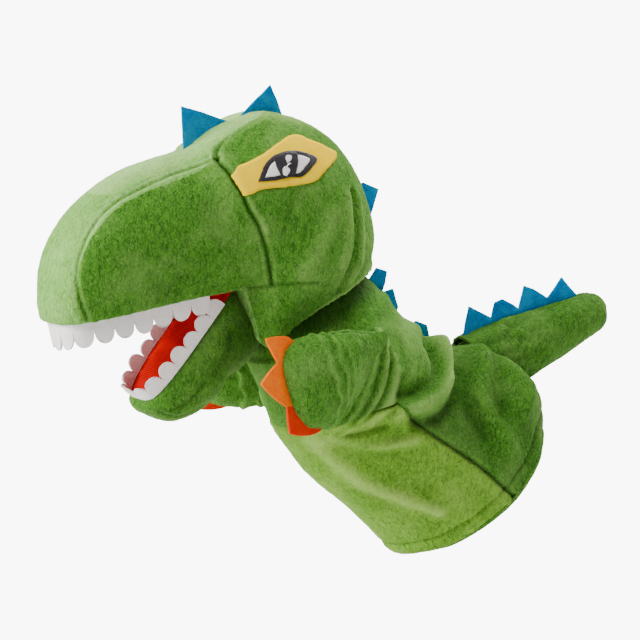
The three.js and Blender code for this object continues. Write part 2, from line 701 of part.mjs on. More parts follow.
// ---------------------------------------------------------------- arms
const armRootHalf = 4.5;
const armStart = new THREE.Vector3(
  SLEEVE_WIDTH / 2 + 2 + armRootHalf,
  ...sleevePoint(SLEEVE_LENGTH - ARM_DROP, -ARM_FORWARD),
);
const armForward = new THREE.Vector3(Math.sin(rad(ARM_SPREAD)), -Math.cos(rad(ARM_SPREAD)), 0);

// The frame of the arm at a share of its length: its middle, and its directions up and out.
function armFrame(share, beyond = 0) {
  const tilt = rad(THREE.MathUtils.lerp(SHOULDER_TILT, CLAW_TILT, share));
  const up = new THREE.Vector3(0, Math.sin(tilt), Math.cos(tilt));
  const out = new THREE.Vector3().crossVectors(up, armForward).normalize();
  return {
    middle: armStart.clone().addScaledVector(armForward, share * ARM_LENGTH + beyond),
    up,
    out: out.x < 0 ? out.negate() : out,
  };
}
// Share of the length, of the width and of the thickness.
const ARM = [
  [0, 1.06, 0.34],
  [0.16, 1.04, 0.7],
  [0.4, 1, 1],
  [0.64, 0.95, 1],
  [0.82, 0.84, 0.86],
  [0.92, 0.68, 0.64],
  [1, 0.44, 0.32],
];

function armForm(inset, startMove, endMove) {
  const rings = ARM.map(([share, width, thickness], index) => {
    const move = index === 0 ? -startMove : index === ARM.length - 1 ? endMove : 0;
    const { middle, up, out } = armFrame(share, move);
    const high = Math.max(MIN_RADIUS, (width * ARM_WIDTH) / 2 - inset);
    const deep = Math.max(MIN_RADIUS, (thickness * ARM_THICKNESS) / 2 - inset);
    return Array.from({ length: SMALL_RING }, (_, k) => {
      const angle = (2 * Math.PI * k) / SMALL_RING;
      return middle.clone()
        .addScaledVector(up, high * clampPower(Math.sin(angle), 0.9))
        .addScaledVector(out, deep * clampPower(Math.cos(angle), 0.9));
    });
  });
  return loft(rings);
}

// Three claws fan round the end of the arm.
function clawStrip() {
  const steps = 12;
  const { middle, up, out } = armFrame(1);
  const back = 0.34 * ARM_LENGTH;
  const stations = Array.from({ length: steps + 1 }, (_, k) => {
    const share = k / steps;
    const turn = rad(THREE.MathUtils.lerp(64, -80, share));
    const edge = middle.clone()
      .addScaledVector(armForward, (back + 2 * FELT) * Math.cos(turn) - back)
      .addScaledVector(up, (0.48 * ARM_WIDTH + FELT) * Math.sin(turn));
    const reach = armForward.clone().multiplyScalar(Math.cos(turn) + 0.35)
      .addScaledVector(up, Math.sin(turn) * 0.6)
      .setLength(2.2 + CLAW * zigzag(share, 3));
    return { edge, reach, side: out };
  });
  return strip(stations, FELT);
}

function buildArms() {
  const skin = armForm(0, 0, 0).subtract(armForm(FABRIC, GAP, -FABRIC));
  const inside = FABRIC + 2 * GAP;
  const filling = armForm(inside, -GAP, -inside);
  const claws = mainBody(clawStrip().subtract(armForm(-GAP, 0, GAP)));
  const pieces = [
    ["arm_skin", skin, "plush"],
    ["arm_stuffing", filling, "fibre"],
    ["claws", claws, "orangeFelt"],
  ];
  for (const [name, solid, finish] of pieces) {
    place(`${name}_left`, solid, finish);
    place(`${name}_right`, mirrored(solid), finish);
  }
}

// ---------------------------------------------------------------- tail
// The tail's pivot stands off the back by its root's radius, square to the two flats of the back
// on either side of the nearest bend.
function tailSeat() {
  const share = TAIL_RISE / SLEEVE_LENGTH;
  const away = SLEEVE_SHAPE.map((station) => Math.abs(station[0] - share));
  const bend = away.indexOf(Math.min(...away.slice(1, -1)));
  const seats = [bend - 1, bend].map((index) => {
    const [lower, upper] = SLEEVE_SHAPE.slice(index, index + 2);
    const run = (upper[0] - lower[0]) * SLEEVE_LENGTH;
    const rise = (upper[2] - lower[2]) * HEM_DEPTH;
    const back = lower[2] * HEM_DEPTH + (rise * (share - lower[0]) * SLEEVE_LENGTH) / run;
    return back + ((TAIL_RADIUS + FABRIC) * Math.hypot(run, rise)) / run;
  });
  return sleevePoint(TAIL_RISE, Math.max(...seats));
}
const tailPivot = tailSeat();
const tailStation = (distance, radius) => {
  const centre = along(tailPivot, TAIL_SLOPE, distance);
  return {
    low: along(centre, TAIL_SLOPE - 90, radius),
    high: along(centre, TAIL_SLOPE + 90, radius),
    half: radius,
    points: SMALL_RING,
  };
};

// A cone with a ball at each end: the tail turns about the middle of the larger one.
function tailForm(inset) {
  const big = TAIL_RADIUS - inset;
  const small = TAIL_TIP_RADIUS - inset;
  const tipMiddle = TAIL_LENGTH - TAIL_TIP_RADIUS;
  const onBall = (share) => Math.sqrt(1 - share * share);
  const stations = [
    ...[-0.98, -0.8, -0.4, 0].map((share) => tailStation(share * big, onBall(share) * big)),
    ...[0.33, 0.66].map((share) => tailStation(
      share * tipMiddle,
      THREE.MathUtils.lerp(big, small, share) + 0.8,
    )),
    ...[0, 0.5, 0.82, 0.98].map((share) => tailStation(tipMiddle + share * small, onBall(share) * small)),
  ];
  return loft(stations.map((station) => oval(station)));
}

function buildTail() {
  const skin = tailForm(0).subtract(tailForm(FABRIC));
  place("tail_skin_left", skin.intersect(slice(SEAM / 2, 99)), "plush");
  place("tail_skin_right", skin.intersect(slice(-99, -SEAM / 2)), "plush");
  place("tail_stuffing", tailForm(FABRIC + GAP), "fibre");
  const rootTop = along(tailPivot, TAIL_SLOPE, 0.02 * TAIL_LENGTH);
  const first = along(rootTop, TAIL_SLOPE + 90, TAIL_RADIUS + GAP + 1);
  const last = along(along(tailPivot, TAIL_SLOPE, 0.84 * TAIL_LENGTH), TAIL_SLOPE + 90, 0.66 * TAIL_RADIUS);
  const line = (share) => [
    THREE.MathUtils.lerp(first[0], last[0], share),
    THREE.MathUtils.lerp(first[1], last[1], share) + 2.2 * Math.sin(Math.PI * share),
  ];
  const spikes = crest(line, (share) => TAIL_SPIKE * zigzag(share, 4), 16)
    .subtract(tailForm(-GAP));
  place("tail_spikes", spikes, "blueFelt");
}

function buildTailRoot() {
  const radius = TAIL_RADIUS + GAP + FABRIC;
  place("tail_root_panel",
    ballZone(tailPivot, radius, FABRIC, TAIL_SLOPE + 180, 90 - TAIL_PATCH_ANGLE, 90), "plush");
}

buildSleeve();
buildBackSpikes();
buildNeck();
buildHead();
buildUpperMouth();
place("teeth_upper",
  teeth({ ...mouthOutline(GAP + FELT / 2), start: 14 }, upperAngle, UPPER_TOOTH + liningTop, UPPER_TEETH,
    liningTop, -1), "whiteFelt");
buildEyes();
buildHeadSpikes();
buildJaw();
buildArms();
buildTailRoot();
buildTail();

export default root;
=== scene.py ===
import json
import math

import bmesh
import bpy
import numpy as np
from mathutils import Matrix, Vector
from mathutils.bvhtree import BVHTree
from mathutils.kdtree import KDTree


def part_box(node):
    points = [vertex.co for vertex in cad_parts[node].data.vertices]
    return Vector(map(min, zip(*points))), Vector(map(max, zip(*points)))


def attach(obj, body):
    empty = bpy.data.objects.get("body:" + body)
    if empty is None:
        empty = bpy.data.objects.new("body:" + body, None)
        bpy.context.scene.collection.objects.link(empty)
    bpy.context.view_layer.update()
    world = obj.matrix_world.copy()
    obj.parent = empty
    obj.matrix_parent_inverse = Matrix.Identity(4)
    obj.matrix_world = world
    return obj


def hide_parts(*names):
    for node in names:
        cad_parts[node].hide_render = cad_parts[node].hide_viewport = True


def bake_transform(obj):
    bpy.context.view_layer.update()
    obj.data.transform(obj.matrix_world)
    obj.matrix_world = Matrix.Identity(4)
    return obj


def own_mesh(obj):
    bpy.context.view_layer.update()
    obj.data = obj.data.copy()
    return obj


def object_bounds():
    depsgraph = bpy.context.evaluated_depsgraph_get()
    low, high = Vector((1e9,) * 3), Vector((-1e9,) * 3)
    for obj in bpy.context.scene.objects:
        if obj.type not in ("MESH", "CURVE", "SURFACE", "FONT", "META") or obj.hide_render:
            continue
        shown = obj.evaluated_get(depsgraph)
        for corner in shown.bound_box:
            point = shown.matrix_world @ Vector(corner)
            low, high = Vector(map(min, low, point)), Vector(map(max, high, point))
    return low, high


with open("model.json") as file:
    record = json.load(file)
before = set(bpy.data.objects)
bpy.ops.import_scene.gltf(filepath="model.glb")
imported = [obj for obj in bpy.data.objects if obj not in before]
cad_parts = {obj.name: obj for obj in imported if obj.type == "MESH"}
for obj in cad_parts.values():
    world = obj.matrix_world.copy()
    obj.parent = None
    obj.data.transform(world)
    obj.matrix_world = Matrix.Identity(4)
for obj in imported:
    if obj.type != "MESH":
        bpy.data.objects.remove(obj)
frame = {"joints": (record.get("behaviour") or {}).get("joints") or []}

CAD_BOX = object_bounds()
JOINTS = {joint["name"]: joint for joint in frame["joints"]}
MM = 0.001
rng = np.random.default_rng(7)


# ------------------------------------------------------------------ camera, lights and floor
VIEW_AZIMUTH, VIEW_ELEVATION = math.radians(65), math.radians(6)
VIEW_WIDTH = 0.4
VIEW_CENTRE = (-0.0938, 0.1094)
CAMERA_DISTANCE = 4.0


def view_axes(azimuth, elevation):
    towards = Vector((math.sin(azimuth) * math.cos(elevation), -math.cos(azimuth) * math.cos(elevation),
                      math.sin(elevation)))
    right = Vector((math.cos(azimuth), math.sin(azimuth), 0))
    return right, towards.cross(right), towards


def make_camera():
    right, up, towards = view_axes(VIEW_AZIMUTH, VIEW_ELEVATION)
    target = right * VIEW_CENTRE[0] + up * VIEW_CENTRE[1] + towards * 0.07
    data = bpy.data.cameras.new("camera")
    data.sensor_width = 36
    data.lens = 36 * CAMERA_DISTANCE / VIEW_WIDTH
    data.clip_end = 50
    camera = bpy.data.objects.new("camera", data)
    camera.matrix_world = Matrix.Translation(target + towards * CAMERA_DISTANCE) @ Matrix((
        (right.x, up.x, towards.x), (right.y, up.y, towards.y), (right.z, up.z, towards.z))).to_4x4()
    bpy.context.scene.collection.objects.link(camera)
    bpy.context.scene.camera = camera


def area_light(name, place, target, size, power, colour=(1, 1, 1)):
    data = bpy.data.lights.new(name, "AREA")
    data.size, data.energy, data.color = size, power, colour
    light = bpy.data.objects.new(name, data)
    light.location = place
    light.rotation_euler = (Vector(target) - Vector(place)).to_track_quat("-Z", "Y").to_euler()
    bpy.context.scene.collection.objects.link(light)


def glow_for_camera(tree, shader, strength):
    """Mixes a plain white glow over a shader, which only the camera sees, as an overexposed backdrop looks."""
    path = tree.nodes.new("ShaderNodeLightPath")
    glow = tree.nodes.new("ShaderNodeEmission" if shader.type == "BSDF_PRINCIPLED" else "ShaderNodeBackground")
    glow.inputs["Strength"].default_value = strength
    mix = tree.nodes.new("ShaderNodeMixShader")
    output = next(node for node in tree.nodes if node.type in ("OUTPUT_MATERIAL", "OUTPUT_WORLD"))
    tree.links.new(path.outputs["Is Camera Ray"], mix.inputs[0])
    tree.links.new(shader.outputs[0], mix.inputs[1])
    tree.links.new(glow.outputs[0], mix.inputs[2])
    tree.links.new(mix.outputs[0], output.inputs["Surface"])


def make_stage():
    world = bpy.data.worlds.new("studio")
    bpy.context.scene.world = world
    world.use_nodes = True
    background = world.node_tree.nodes["Background"]
    background.inputs["Color"].default_value = (1, 1, 1, 1)
    background.inputs["Strength"].default_value = 0.5
    glow_for_camera(world.node_tree, background, 9.0)
    middle = (0, -0.09, 0.1)
    area_light("key", (0.25, -1.4, 1.0), middle, 0.5, 15)
    area_light("left", (-0.6, -1.5, 0.55), middle, 0.8, 42)
    area_light("back_right", (-0.6, 0.9, 1.1), middle, 0.6, 26)
    area_light("top", (0.2, 0.15, 1.5), middle, 0.5, 20)
    floor_height = CAD_BOX[0][2] - 0.06
    bpy.ops.mesh.primitive_plane_add(size=30, location=(0, 0, floor_height))
    floor = bpy.context.object
    floor.name = "floor"
    material = bpy.data.materials.new("floor")
    material.use_nodes = True
    shader = material.node_tree.nodes["Principled BSDF"]
    shader.inputs["Base Color"].default_value = (0.8, 0.8, 0.79, 1)
    shader.inputs["Roughness"].default_value = 0.9
    glow_for_camera(material.node_tree, shader, 9.0)
    floor.data.materials.append(material)


# ------------------------------------------------------------------ geometry tools, in millimetres
def along(point, degrees, distance):
    angle = math.radians(degrees)
    return np.array([point[0] + distance * math.cos(angle), point[1] + distance * math.sin(angle)])


def signed_power(values, power):
    return np.sign(values) * np.abs(values) ** power


def smoothstep(low, high, values):
    share = np.clip((np.asarray(values, float) - low) / (high - low), 0, 1)
    return share * share * (3 - 2 * share)


def bump(distance, width):
    return np.exp(-(np.asarray(distance) / width) ** 2)


def spline(times, keys, at):
    """A smooth curve through keys at times; keys may be whole rings of points."""
    times, keys, at = np.asarray(times, float), np.asarray(keys, float), np.asarray(at, float)
    slopes = np.empty_like(keys)
    shape = (-1,) + (1,) * (keys.ndim - 1)
    steps = np.diff(times).reshape(shape)
    rates = np.diff(keys, axis=0) / steps
    slopes[0], slopes[-1] = rates[0], rates[-1]
    slopes[1:-1] = (rates[:-1] * steps[1:] + rates[1:] * steps[:-1]) / (steps[1:] + steps[:-1])
    i = np.clip(np.searchsorted(times, at, side="right") - 1, 0, len(times) - 2)
    h = (times[i + 1] - times[i]).reshape(shape)
    t = ((at - times[i]).reshape(shape)) / h
    return ((2 * t**3 - 3 * t**2 + 1) * keys[i] + (t**3 - 2 * t**2 + t) * h * slopes[i]
            + (3 * t**2 - 2 * t**3) * keys[i + 1] + (t**3 - t**2) * h * slopes[i + 1])


def resample(rings, rows):
    """Rings of points made into that many rings, evenly spaced along the form."""
    rings = np.asarray(rings, float)
    gaps = np.linalg.norm(np.diff(rings, axis=0), axis=2).max(axis=1)
    times = np.concatenate([[0], np.cumsum(gaps)])
    return spline(times, rings, np.linspace(0, times[-1], rows))


def oval(low, high, half, base=0, low_square=2, high_square=2, columns=144):
    """A ring in the plane that holds X and the line from low to high, two (y, z) points."""
    low, high = np.asarray(low, float), np.asarray(high, float)
    centre, across = (low + high) / 2, high - low
    reach = np.linalg.norm(across) / 2
    across = across / (2 * reach)
    angle = 2 * np.pi * np.arange(columns) / columns
    upper = np.sin(angle) > 0
    power = np.where(upper, 2 / high_square, 2 / low_square)
    x = half * signed_power(np.cos(angle), power)
    w = reach * signed_power(np.sin(angle), power)
    if base:
        from_bottom = (np.where(angle > 0, np.degrees(angle), 360) - 270) / 90
        share = 1 - np.abs(from_bottom)
        sign = np.where(from_bottom < 0, -1, 1)
        down = np.clip(share / 0.67, 0, 1)
        side = share <= 0.67
        flat_x = np.where(side, half - (half - base) * down**2, base * (1 - (share - 0.67) / 0.33)) * sign
        flat_w = np.where(side, -reach * down, -reach)
        x, w = np.where(upper, x, flat_x), np.where(upper, w, flat_w)
    return np.stack([x, centre[0] + across[0] * w, centre[1] + across[1] * w], axis=1)


def lattice(points, seed):
    """Smooth noise from -1 to 1 at points given in cells."""
    points = np.asarray(points, float)
    cell = np.floor(points).astype(np.int64)
    part = points - cell
    part = part * part * (3 - 2 * part)
    total = np.zeros(len(points))
    for corner in range(8):
        offset = np.array([corner & 1, (corner >> 1) & 1, (corner >> 2) & 1])
        key = cell + offset
        code = (key[:, 0] * 73856093) ^ (key[:, 1] * 19349663) ^ (key[:, 2] * 83492791) ^ (seed * 2654435761)
        code = (code ^ (code >> 13)) * 1274126177 & 0x7FFFFFFF
        value = (code ^ (code >> 16)) % 65536 / 32768 - 1
        weight = np.prod(np.where(offset == 1, part, 1 - part), axis=1)
        total += weight * value
    return total


def pile_noise(points, seed, size=2.4, lay=(0, 0.35, -0.94), stretch=0.45):
    """Clumps of pile, drawn out along the direction in which the pile lies."""
    lay = np.asarray(lay) / np.linalg.norm(lay)
    drawn = points - np.outer(points @ lay, lay) * (1 - stretch)
    return 0.65 * lattice(drawn / size, seed) + 0.35 * lattice(drawn / (0.45 * size), seed + 1)


def distance_to(points, line):
    """The distance of points to a line of points, in as many dimensions as they have."""
    line = np.asarray(line, float)
    best = np.full(len(points), np.inf)
    for a, b in zip(line[:-1], line[1:]):
        way = b - a
        share = np.clip(((points - a) @ way) / (way @ way), 0, 1)
        best = np.minimum(best, np.linalg.norm(points - a - share[:, None] * way, axis=1))
    return best


def fine_line(line, steps=8):
    line = np.asarray(line, float)
    times = np.concatenate([[0], np.cumsum(np.linalg.norm(np.diff(line, axis=0), axis=1))])
    return spline(times, line, np.linspace(0, times[-1], steps * (len(line) - 1) + 1))


# ------------------------------------------------------------------ mesh tools
def mesh_from(name, points, faces):
    mesh = bpy.data.meshes.new(name)
    mesh.from_pydata([tuple(p) for p in np.asarray(points) * MM], [], [tuple(f) for f in faces])
    mesh.update()
    return mesh


def object_from(name, points, faces):
    obj = bpy.data.objects.new(name, mesh_from(name, points, faces))
    bpy.context.scene.collection.objects.link(obj)
    return obj


def grid_faces(rows, columns, closed):
    across = columns if closed else columns - 1
    r, c = np.meshgrid(np.arange(rows - 1), np.arange(across), indexing="ij")
    a = r * columns + c
    b = r * columns + (c + 1) % columns
    return np.stack([a, b, b + columns, a + columns], axis=-1).reshape(-1, 4)


def grid_object(name, points, rows, columns, closed=False):
    obj = object_from(name, np.reshape(points, (-1, 3)), grid_faces(rows, columns, closed))
    outwards(obj)
    return obj


def loft_object(name, rings):
    """A closed skin over rings of points, with a fan over each end."""
    rows, columns, _ = rings.shape
    points = rings.reshape(-1, 3)
    faces = grid_faces(rows, columns, True).tolist()
    first, last = len(points), len(points) + 1
    end = (rows - 1) * columns
    for k in range(columns):
        n = (k + 1) % columns
        faces += [[first, n, k], [last, end + k, end + n]]
    obj = object_from(name, np.concatenate([points, [rings[0].mean(axis=0), rings[-1].mean(axis=0)]]), faces)
    outwards(obj)
    return obj


def outwards(obj):
    edit(obj, lambda b: bmesh.ops.recalc_face_normals(b, faces=b.faces))


def edit(obj, change):
    b = bmesh.new()
    b.from_mesh(obj.data)
    change(b)
    b.to_mesh(obj.data)
    b.free()
    obj.data.update()


def read(items, field):
    """The three-part values of one field of all items, as rows."""
    values = np.empty(len(items) * 3, np.float32)
    items.foreach_get(field, values)
    return values.reshape(-1, 3).astype(float)


def points_of(obj):
    return read(obj.data.vertices, "co") / MM


def normals_of(obj):
    return read(obj.data.vertex_normals, "vector")


def face_centres(obj):
    return read(obj.data.polygons, "center") / MM


def surface_tree(obj):
    return BVHTree.FromObject(obj, bpy.context.evaluated_depsgraph_get())


def move_points(obj, points):
    obj.data.vertices.foreach_set("co", (np.asarray(points) * MM).astype(np.float32).ravel())
    obj.data.update()


def apply_modifiers(obj):
    bpy.context.view_layer.update()
    evaluated = obj.evaluated_get(bpy.context.evaluated_depsgraph_get())
    mesh = bpy.data.meshes.new_from_object(evaluated)
    old, obj.data = obj.data, mesh
    obj.modifiers.clear()
    bpy.data.meshes.remove(old)
    mesh.name = obj.name


def modify(obj, kind, **settings):
    """Applies one modifier with those settings."""
    modifier = obj.modifiers.new(kind.lower(), kind)
    for key, value in settings.items():
        setattr(modifier, key, value)
    apply_modifiers(obj)


def remesh(obj, voxel, smooth=0):
    modify(obj, "REMESH", mode="VOXEL", voxel_size=voxel * MM)
    if smooth:
        modify(obj, "SMOOTH", factor=0.5, iterations=smooth)


def subdivide(obj, levels=1):
    modify(obj, "SUBSURF", levels=levels, render_levels=levels)


def thicken(obj, thickness, offset=-1):
    modify(obj, "SOLIDIFY", thickness=thickness * MM, offset=offset, use_even_offset=False)


def thick_felt(obj, thickness, rounding):
    """Gives a flat piece its thickness, with its cut edges a little rounded."""
    thicken(obj, thickness, 0)
    outwards(obj)
    modify(obj, "BEVEL", width=rounding * MM, segments=2, limit_method="ANGLE", angle_limit=math.radians(50))


def shade_smooth(obj):
    obj.data.polygons.foreach_set("use_smooth", np.ones(len(obj.data.polygons), bool))
    obj.data.update()


def set_light_and_shade(obj, tone):
    """Painted light and shade on the pile: below zero it is painted shade in creases, seam grooves, recesses and
    shaded parts; above zero it is painted highlight on ridges.
    """
    attribute = obj.data.attributes.get("tone") or obj.data.attributes.new("tone", "FLOAT", "POINT")
    attribute.data.foreach_set("value", np.asarray(tone, np.float32))


def copy_faces(obj, name, keep):
    """A new piece of the faces that keep marks."""
    new = obj.copy()
    new.data = obj.data.copy()
    new.name = new.data.name = name
    bpy.context.scene.collection.objects.link(new)

    def change(b):
        b.faces.ensure_lookup_table()
        bmesh.ops.delete(b, geom=[f for f in b.faces if not keep[f.index]], context="FACES")

    edit(new, change)
    return new


def discard(obj):
    mesh = obj.data
    bpy.data.objects.remove(obj)
    bpy.data.meshes.remove(mesh)


def swell(obj, cap, pressure=4.0, voxel=5.0):
    """Fills a closed piece with air, as its stuffing does, and keeps each point within cap of its place."""
    soft = obj.copy()
    soft.data = obj.data.copy()
    bpy.context.scene.collection.objects.link(soft)
    remesh(soft, voxel)
    start = points_of(soft)
    cloth = soft.modifiers.new("cloth", "CLOTH")
    cloth.settings.use_pressure = True
    cloth.settings.uniform_pressure_force = pressure
    cloth.settings.effector_weights.gravity = 0
    cloth.settings.quality = 4
    cloth.settings.mass = 0.15
    cloth.point_cache.frame_start, cloth.point_cache.frame_end = 1, 20
    for number in range(1, 21):
        bpy.context.scene.frame_set(number)
    apply_modifiers(soft)
    move = points_of(soft) - start
    size = np.linalg.norm(move, axis=1, keepdims=True)
    move *= np.minimum(1, cap / np.maximum(size, 1e-9))
    discard(soft)
    bpy.context.scene.frame_set(1)
    tree = KDTree(len(start))
    for number, place in enumerate(start):
        tree.insert(place, number)
    tree.balance()
    points = points_of(obj)
    carried = np.zeros_like(points)
    for number, point in enumerate(points):
        near = tree.find_n(point, 6)
        weights = np.array([1 / (gap + 0.5) ** 2 for _, _, gap in near])
        carried[number] = weights @ move[[index for _, index, _ in near]] / weights.sum()
    move_points(obj, points + carried)


# ------------------------------------------------------------------ materials
def linear(red, green, blue):
    """A colour given as 0-255 sRGB, as the shader takes it."""
    values = []
    for value in (red, green, blue):
        v = value / 255
        values.append(v / 12.92 if v <= 0.04045 else ((v + 0.055) / 1.055) ** 2.4)
    return (*values, 1.0)


class Shader:
    """A principled material and the nodes that lead to it."""

    def __init__(self, name, **values):
        self.material = bpy.data.materials.new(name)
        self.material.use_nodes = True
        self.tree = self.material.node_tree
        self.bsdf = self.tree.nodes["Principled BSDF"]
        for socket, value in values.items():
            self.bsdf.inputs[socket.replace("_", " ")].default_value = value
        self.place = self.tree.nodes.new("ShaderNodeTexCoord").outputs["Object"]

    def node(self, kind, inputs=None, **settings):
        node = self.tree.nodes.new(kind)
        for key, value in settings.items():
            setattr(node, key, value)
        for key, value in (inputs or {}).items():
            socket = node.inputs[key]
            if isinstance(value, bpy.types.NodeSocket):
                self.tree.links.new(value, socket)
            else:
                socket.default_value = value
        return node

    def mapped(self, scale, rotation=(0, 0, 0)):
        return self.node("ShaderNodeMapping", {"Vector": self.place, "Scale": scale,
                                               "Rotation": rotation}).outputs["Vector"]

    def noise(self, vector, scale, detail=3.0, distortion=0.0, roughness=0.5):
        inputs = {"Vector": vector, "Scale": scale, "Detail": detail, "Distortion": distortion,
                  "Roughness": roughness}
        return self.node("ShaderNodeTexNoise", inputs).outputs["Fac"]

    def spread(self, value, low, high, to_low=0.0, to_high=1.0):
        return self.node("ShaderNodeMapRange", {"Value": value, "From Min": low, "From Max": high,
                                                "To Min": to_low, "To Max": to_high}).outputs["Result"]

    def mix(self, factor, a, b, blend="MIX"):
        node = self.node("ShaderNodeMix", data_type="RGBA", blend_type=blend)
        for index, value in ((0, factor), (6, a), (7, b)):
            socket = node.inputs[index]
            if isinstance(value, bpy.types.NodeSocket):
                self.tree.links.new(value, socket)
            else:
                socket.default_value = value
        return node.outputs[2]

    def maths(self, operation, a, b):
        return self.node("ShaderNodeMath", {0: a, 1: b}, operation=operation).outputs[0]

    def feed(self, socket, value):
        self.tree.links.new(value, self.bsdf.inputs[socket])

    def relief(self, *layers):
        """Bump layers, each a height, a strength and a distance in metres."""
        normal = None
        for height, strength, distance in layers:
            inputs = {"Height": height, "Strength": strength, "Distance": distance}
            if normal is not None:
                inputs["Normal"] = normal
            normal = self.node("ShaderNodeBump", inputs).outputs["Normal"]
        self.feed("Normal", normal)


def plush(name, deep, plain, tip, lay=(0.3, 0, 0)):
    """Short pile: clumps of fibres in streaks along the lay, darker between them and lighter at the tips."""
    s = Shader(name, Roughness=0.92, Sheen_Weight=0.4, Sheen_Roughness=0.32, Specular_IOR_Level=0.08,
               Sheen_Tint=tip)
    drawn = s.mapped((1, 0.75, 0.42), lay)
    clumps = s.noise(drawn, 540, 2.5, 1.0, 0.6)
    fibres = s.noise(drawn, 1900, 2.0, 0.4, 0.6)
    patches = s.noise(s.place, 38, 2.0, 0.3)
    tone = s.node("ShaderNodeAttribute", attribute_name="tone").outputs["Fac"]
    base = s.mix(s.spread(clumps, 0.32, 0.62, 0.15, 1), deep, plain)
    base = s.mix(s.spread(fibres, 0.5, 0.8, 0, 0.4), base, tip)
    base = s.mix(s.spread(patches, 0.45, 0.75, 0, 0.16), base, tip)
    # Painted light and shade from the point attribute: above zero the tip colour is mixed in as painted highlight,
    # below zero a darker green as painted shade.
    base = s.mix(s.spread(tone, 0.0, 1.0, 0, 0.75), base, tip)
    painted_shade_colour = tuple(0.35 * c for c in deep[:3]) + (1,)
    base = s.mix(s.spread(tone, -1.0, 0.0, 0.85, 0), base, painted_shade_colour)
    s.feed("Base Color", base)
    s.relief((clumps, 0.85, 0.0012), (fibres, 0.5, 0.0004))
    return s.material


def felt(name, deep, plain, light, sheen=0.1):
    """Pressed felt: short tangled fibres, with pale ones on top."""
    s = Shader(name, Roughness=0.95, Sheen_Weight=sheen, Sheen_Roughness=0.5, Specular_IOR_Level=0.05,
               Sheen_Tint=light)
    tangle = s.noise(s.place, 900, 5.0, 1.6, 0.65)
    specks = s.noise(s.place, 2200, 2.0, 0.6, 0.7)
    patches = s.noise(s.place, 90, 2.0)
    base = s.mix(s.spread(tangle, 0.36, 0.66), deep, plain)
    base = s.mix(s.spread(specks, 0.58, 0.74, 0, 0.55), base, light)
    base = s.mix(s.spread(patches, 0.4, 0.7, 0, 0.25), base, light)
    s.feed("Base Color", base)
    s.relief((tangle, 0.7, 0.0006), (specks, 0.4, 0.0002))
    return s.material


def woven(name, deep, plain, pitch, roughness=0.7, sheen=0.15, gloss=0.3, relief=0.35, anisotropy=0.0):
    """A plain weave of threads with that pitch, in metres, on the cloth's own two directions."""
    s = Shader(name, Roughness=roughness, Sheen_Weight=sheen, Sheen_Roughness=0.4, Specular_IOR_Level=gloss,
               Anisotropic=anisotropy)
    wave = {"Scale": 1.0, "Distortion": 0.6, "Detail": 1.0, "Detail Scale": 3.0}
    turns = 1 / (pitch * 20 / (2 * math.pi) * 2)
    one, two = (s.node("ShaderNodeTexWave", {"Vector": s.mapped((turns,) * 3, (0.6, 0, 0)), **wave},
                       bands_direction=direction).outputs["Fac"] for direction in "YZ")
    weave = s.maths("MAXIMUM", one, two)
    shade = s.noise(s.place, 60, 3.0, 0.5)
    base = s.mix(s.spread(weave, 0.1, 0.9, 0.3, 1), deep, plain)
    base = s.mix(s.spread(shade, 0.35, 0.7, 0, 0.3), base, deep)
    s.feed("Base Color", base)
    s.relief((shade, 0.25, 0.0015), (weave, relief, 0.0003))
    return s.material


def stitched(name, deep, plain, run):
    """Satin stitch: close parallel threads, which shine a little."""
    s = Shader(name, Roughness=0.5, Sheen_Weight=0.2, Sheen_Roughness=0.3, Specular_IOR_Level=0.3)
    threads = s.node("ShaderNodeTexWave", {"Vector": s.mapped((1, 1, 1), (run, 0, 0)), "Scale": 420.0,
                                           "Distortion": 1.2, "Detail": 1.0, "Detail Scale": 2.0},
                     bands_direction="Y").outputs["Fac"]
    s.feed("Base Color", s.mix(s.spread(threads, 0.1, 0.9), deep, plain))
    s.relief((threads, 0.6, 0.0004))
    return s.material


def make_materials():
    green = (linear(22, 70, 10), linear(66, 122, 28), linear(168, 206, 112))
    belly = (linear(50, 98, 16), linear(104, 152, 40), linear(180, 210, 110))
    return {
        "green": plush("green_plush", *green),
        # A paler copy of the green plush: painted top light on the snout's middle panel.
        "forehead_painted_light": plush("green_plush_painted_top_light", linear(56, 112, 34), linear(112, 166, 70), linear(192, 222, 148)),
        "belly": plush("belly_plush", *belly, lay=(0.9, 0, 0)),
        "blue": felt("blue_felt", linear(0, 76, 136), linear(0, 134, 196), linear(40, 190, 228)),
        "orange": felt("orange_felt", linear(226, 84, 0), linear(240, 112, 0), linear(252, 146, 8)),
        "red_orange": felt("orange_felt_deep", linear(196, 24, 0), linear(222, 42, 0), linear(240, 84, 6)),
        "white": felt("white_felt", linear(222, 212, 208), linear(246, 240, 238), linear(255, 254, 253), 0.3),
        "red": woven("red_lining", linear(130, 0, 0), linear(196, 0, 2), 0.0007, 0.9, 0.0, 0.02),
        "yellow": woven("yellow_satin", linear(214, 166, 0), linear(240, 202, 0), 0.0005, 0.9, 0.0, 0.0,
                        0.2, 0.4),
        "pocket": woven("pocket_cloth", linear(190, 192, 180), linear(222, 224, 214), 0.0009),
        "black_thread": stitched("black_embroidery", linear(8, 4, 10), linear(34, 26, 34), 0.5),
        "white_thread": stitched("white_embroidery", linear(214, 204, 196), linear(248, 244, 238), 0.5),
        "card": woven("palate_card", linear(150, 128, 92), linear(190, 168, 128), 0.002, 0.85, 0.0, 0.2, 0.1),
    }


def dress(obj, finish, body=None, replaces=()):
    obj.data.materials.clear()
    obj.data.materials.append(MATERIALS[finish])
    shade_smooth(obj)
    if body:
        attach(obj, body)
    if replaces:
        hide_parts(*replaces)
    return obj


def cut_flat(shape):
    """Centres a flat piece's outline, given in millimetres; nothing further is done with it."""
    shape = np.asarray(shape, float) - np.mean(shape, axis=0)


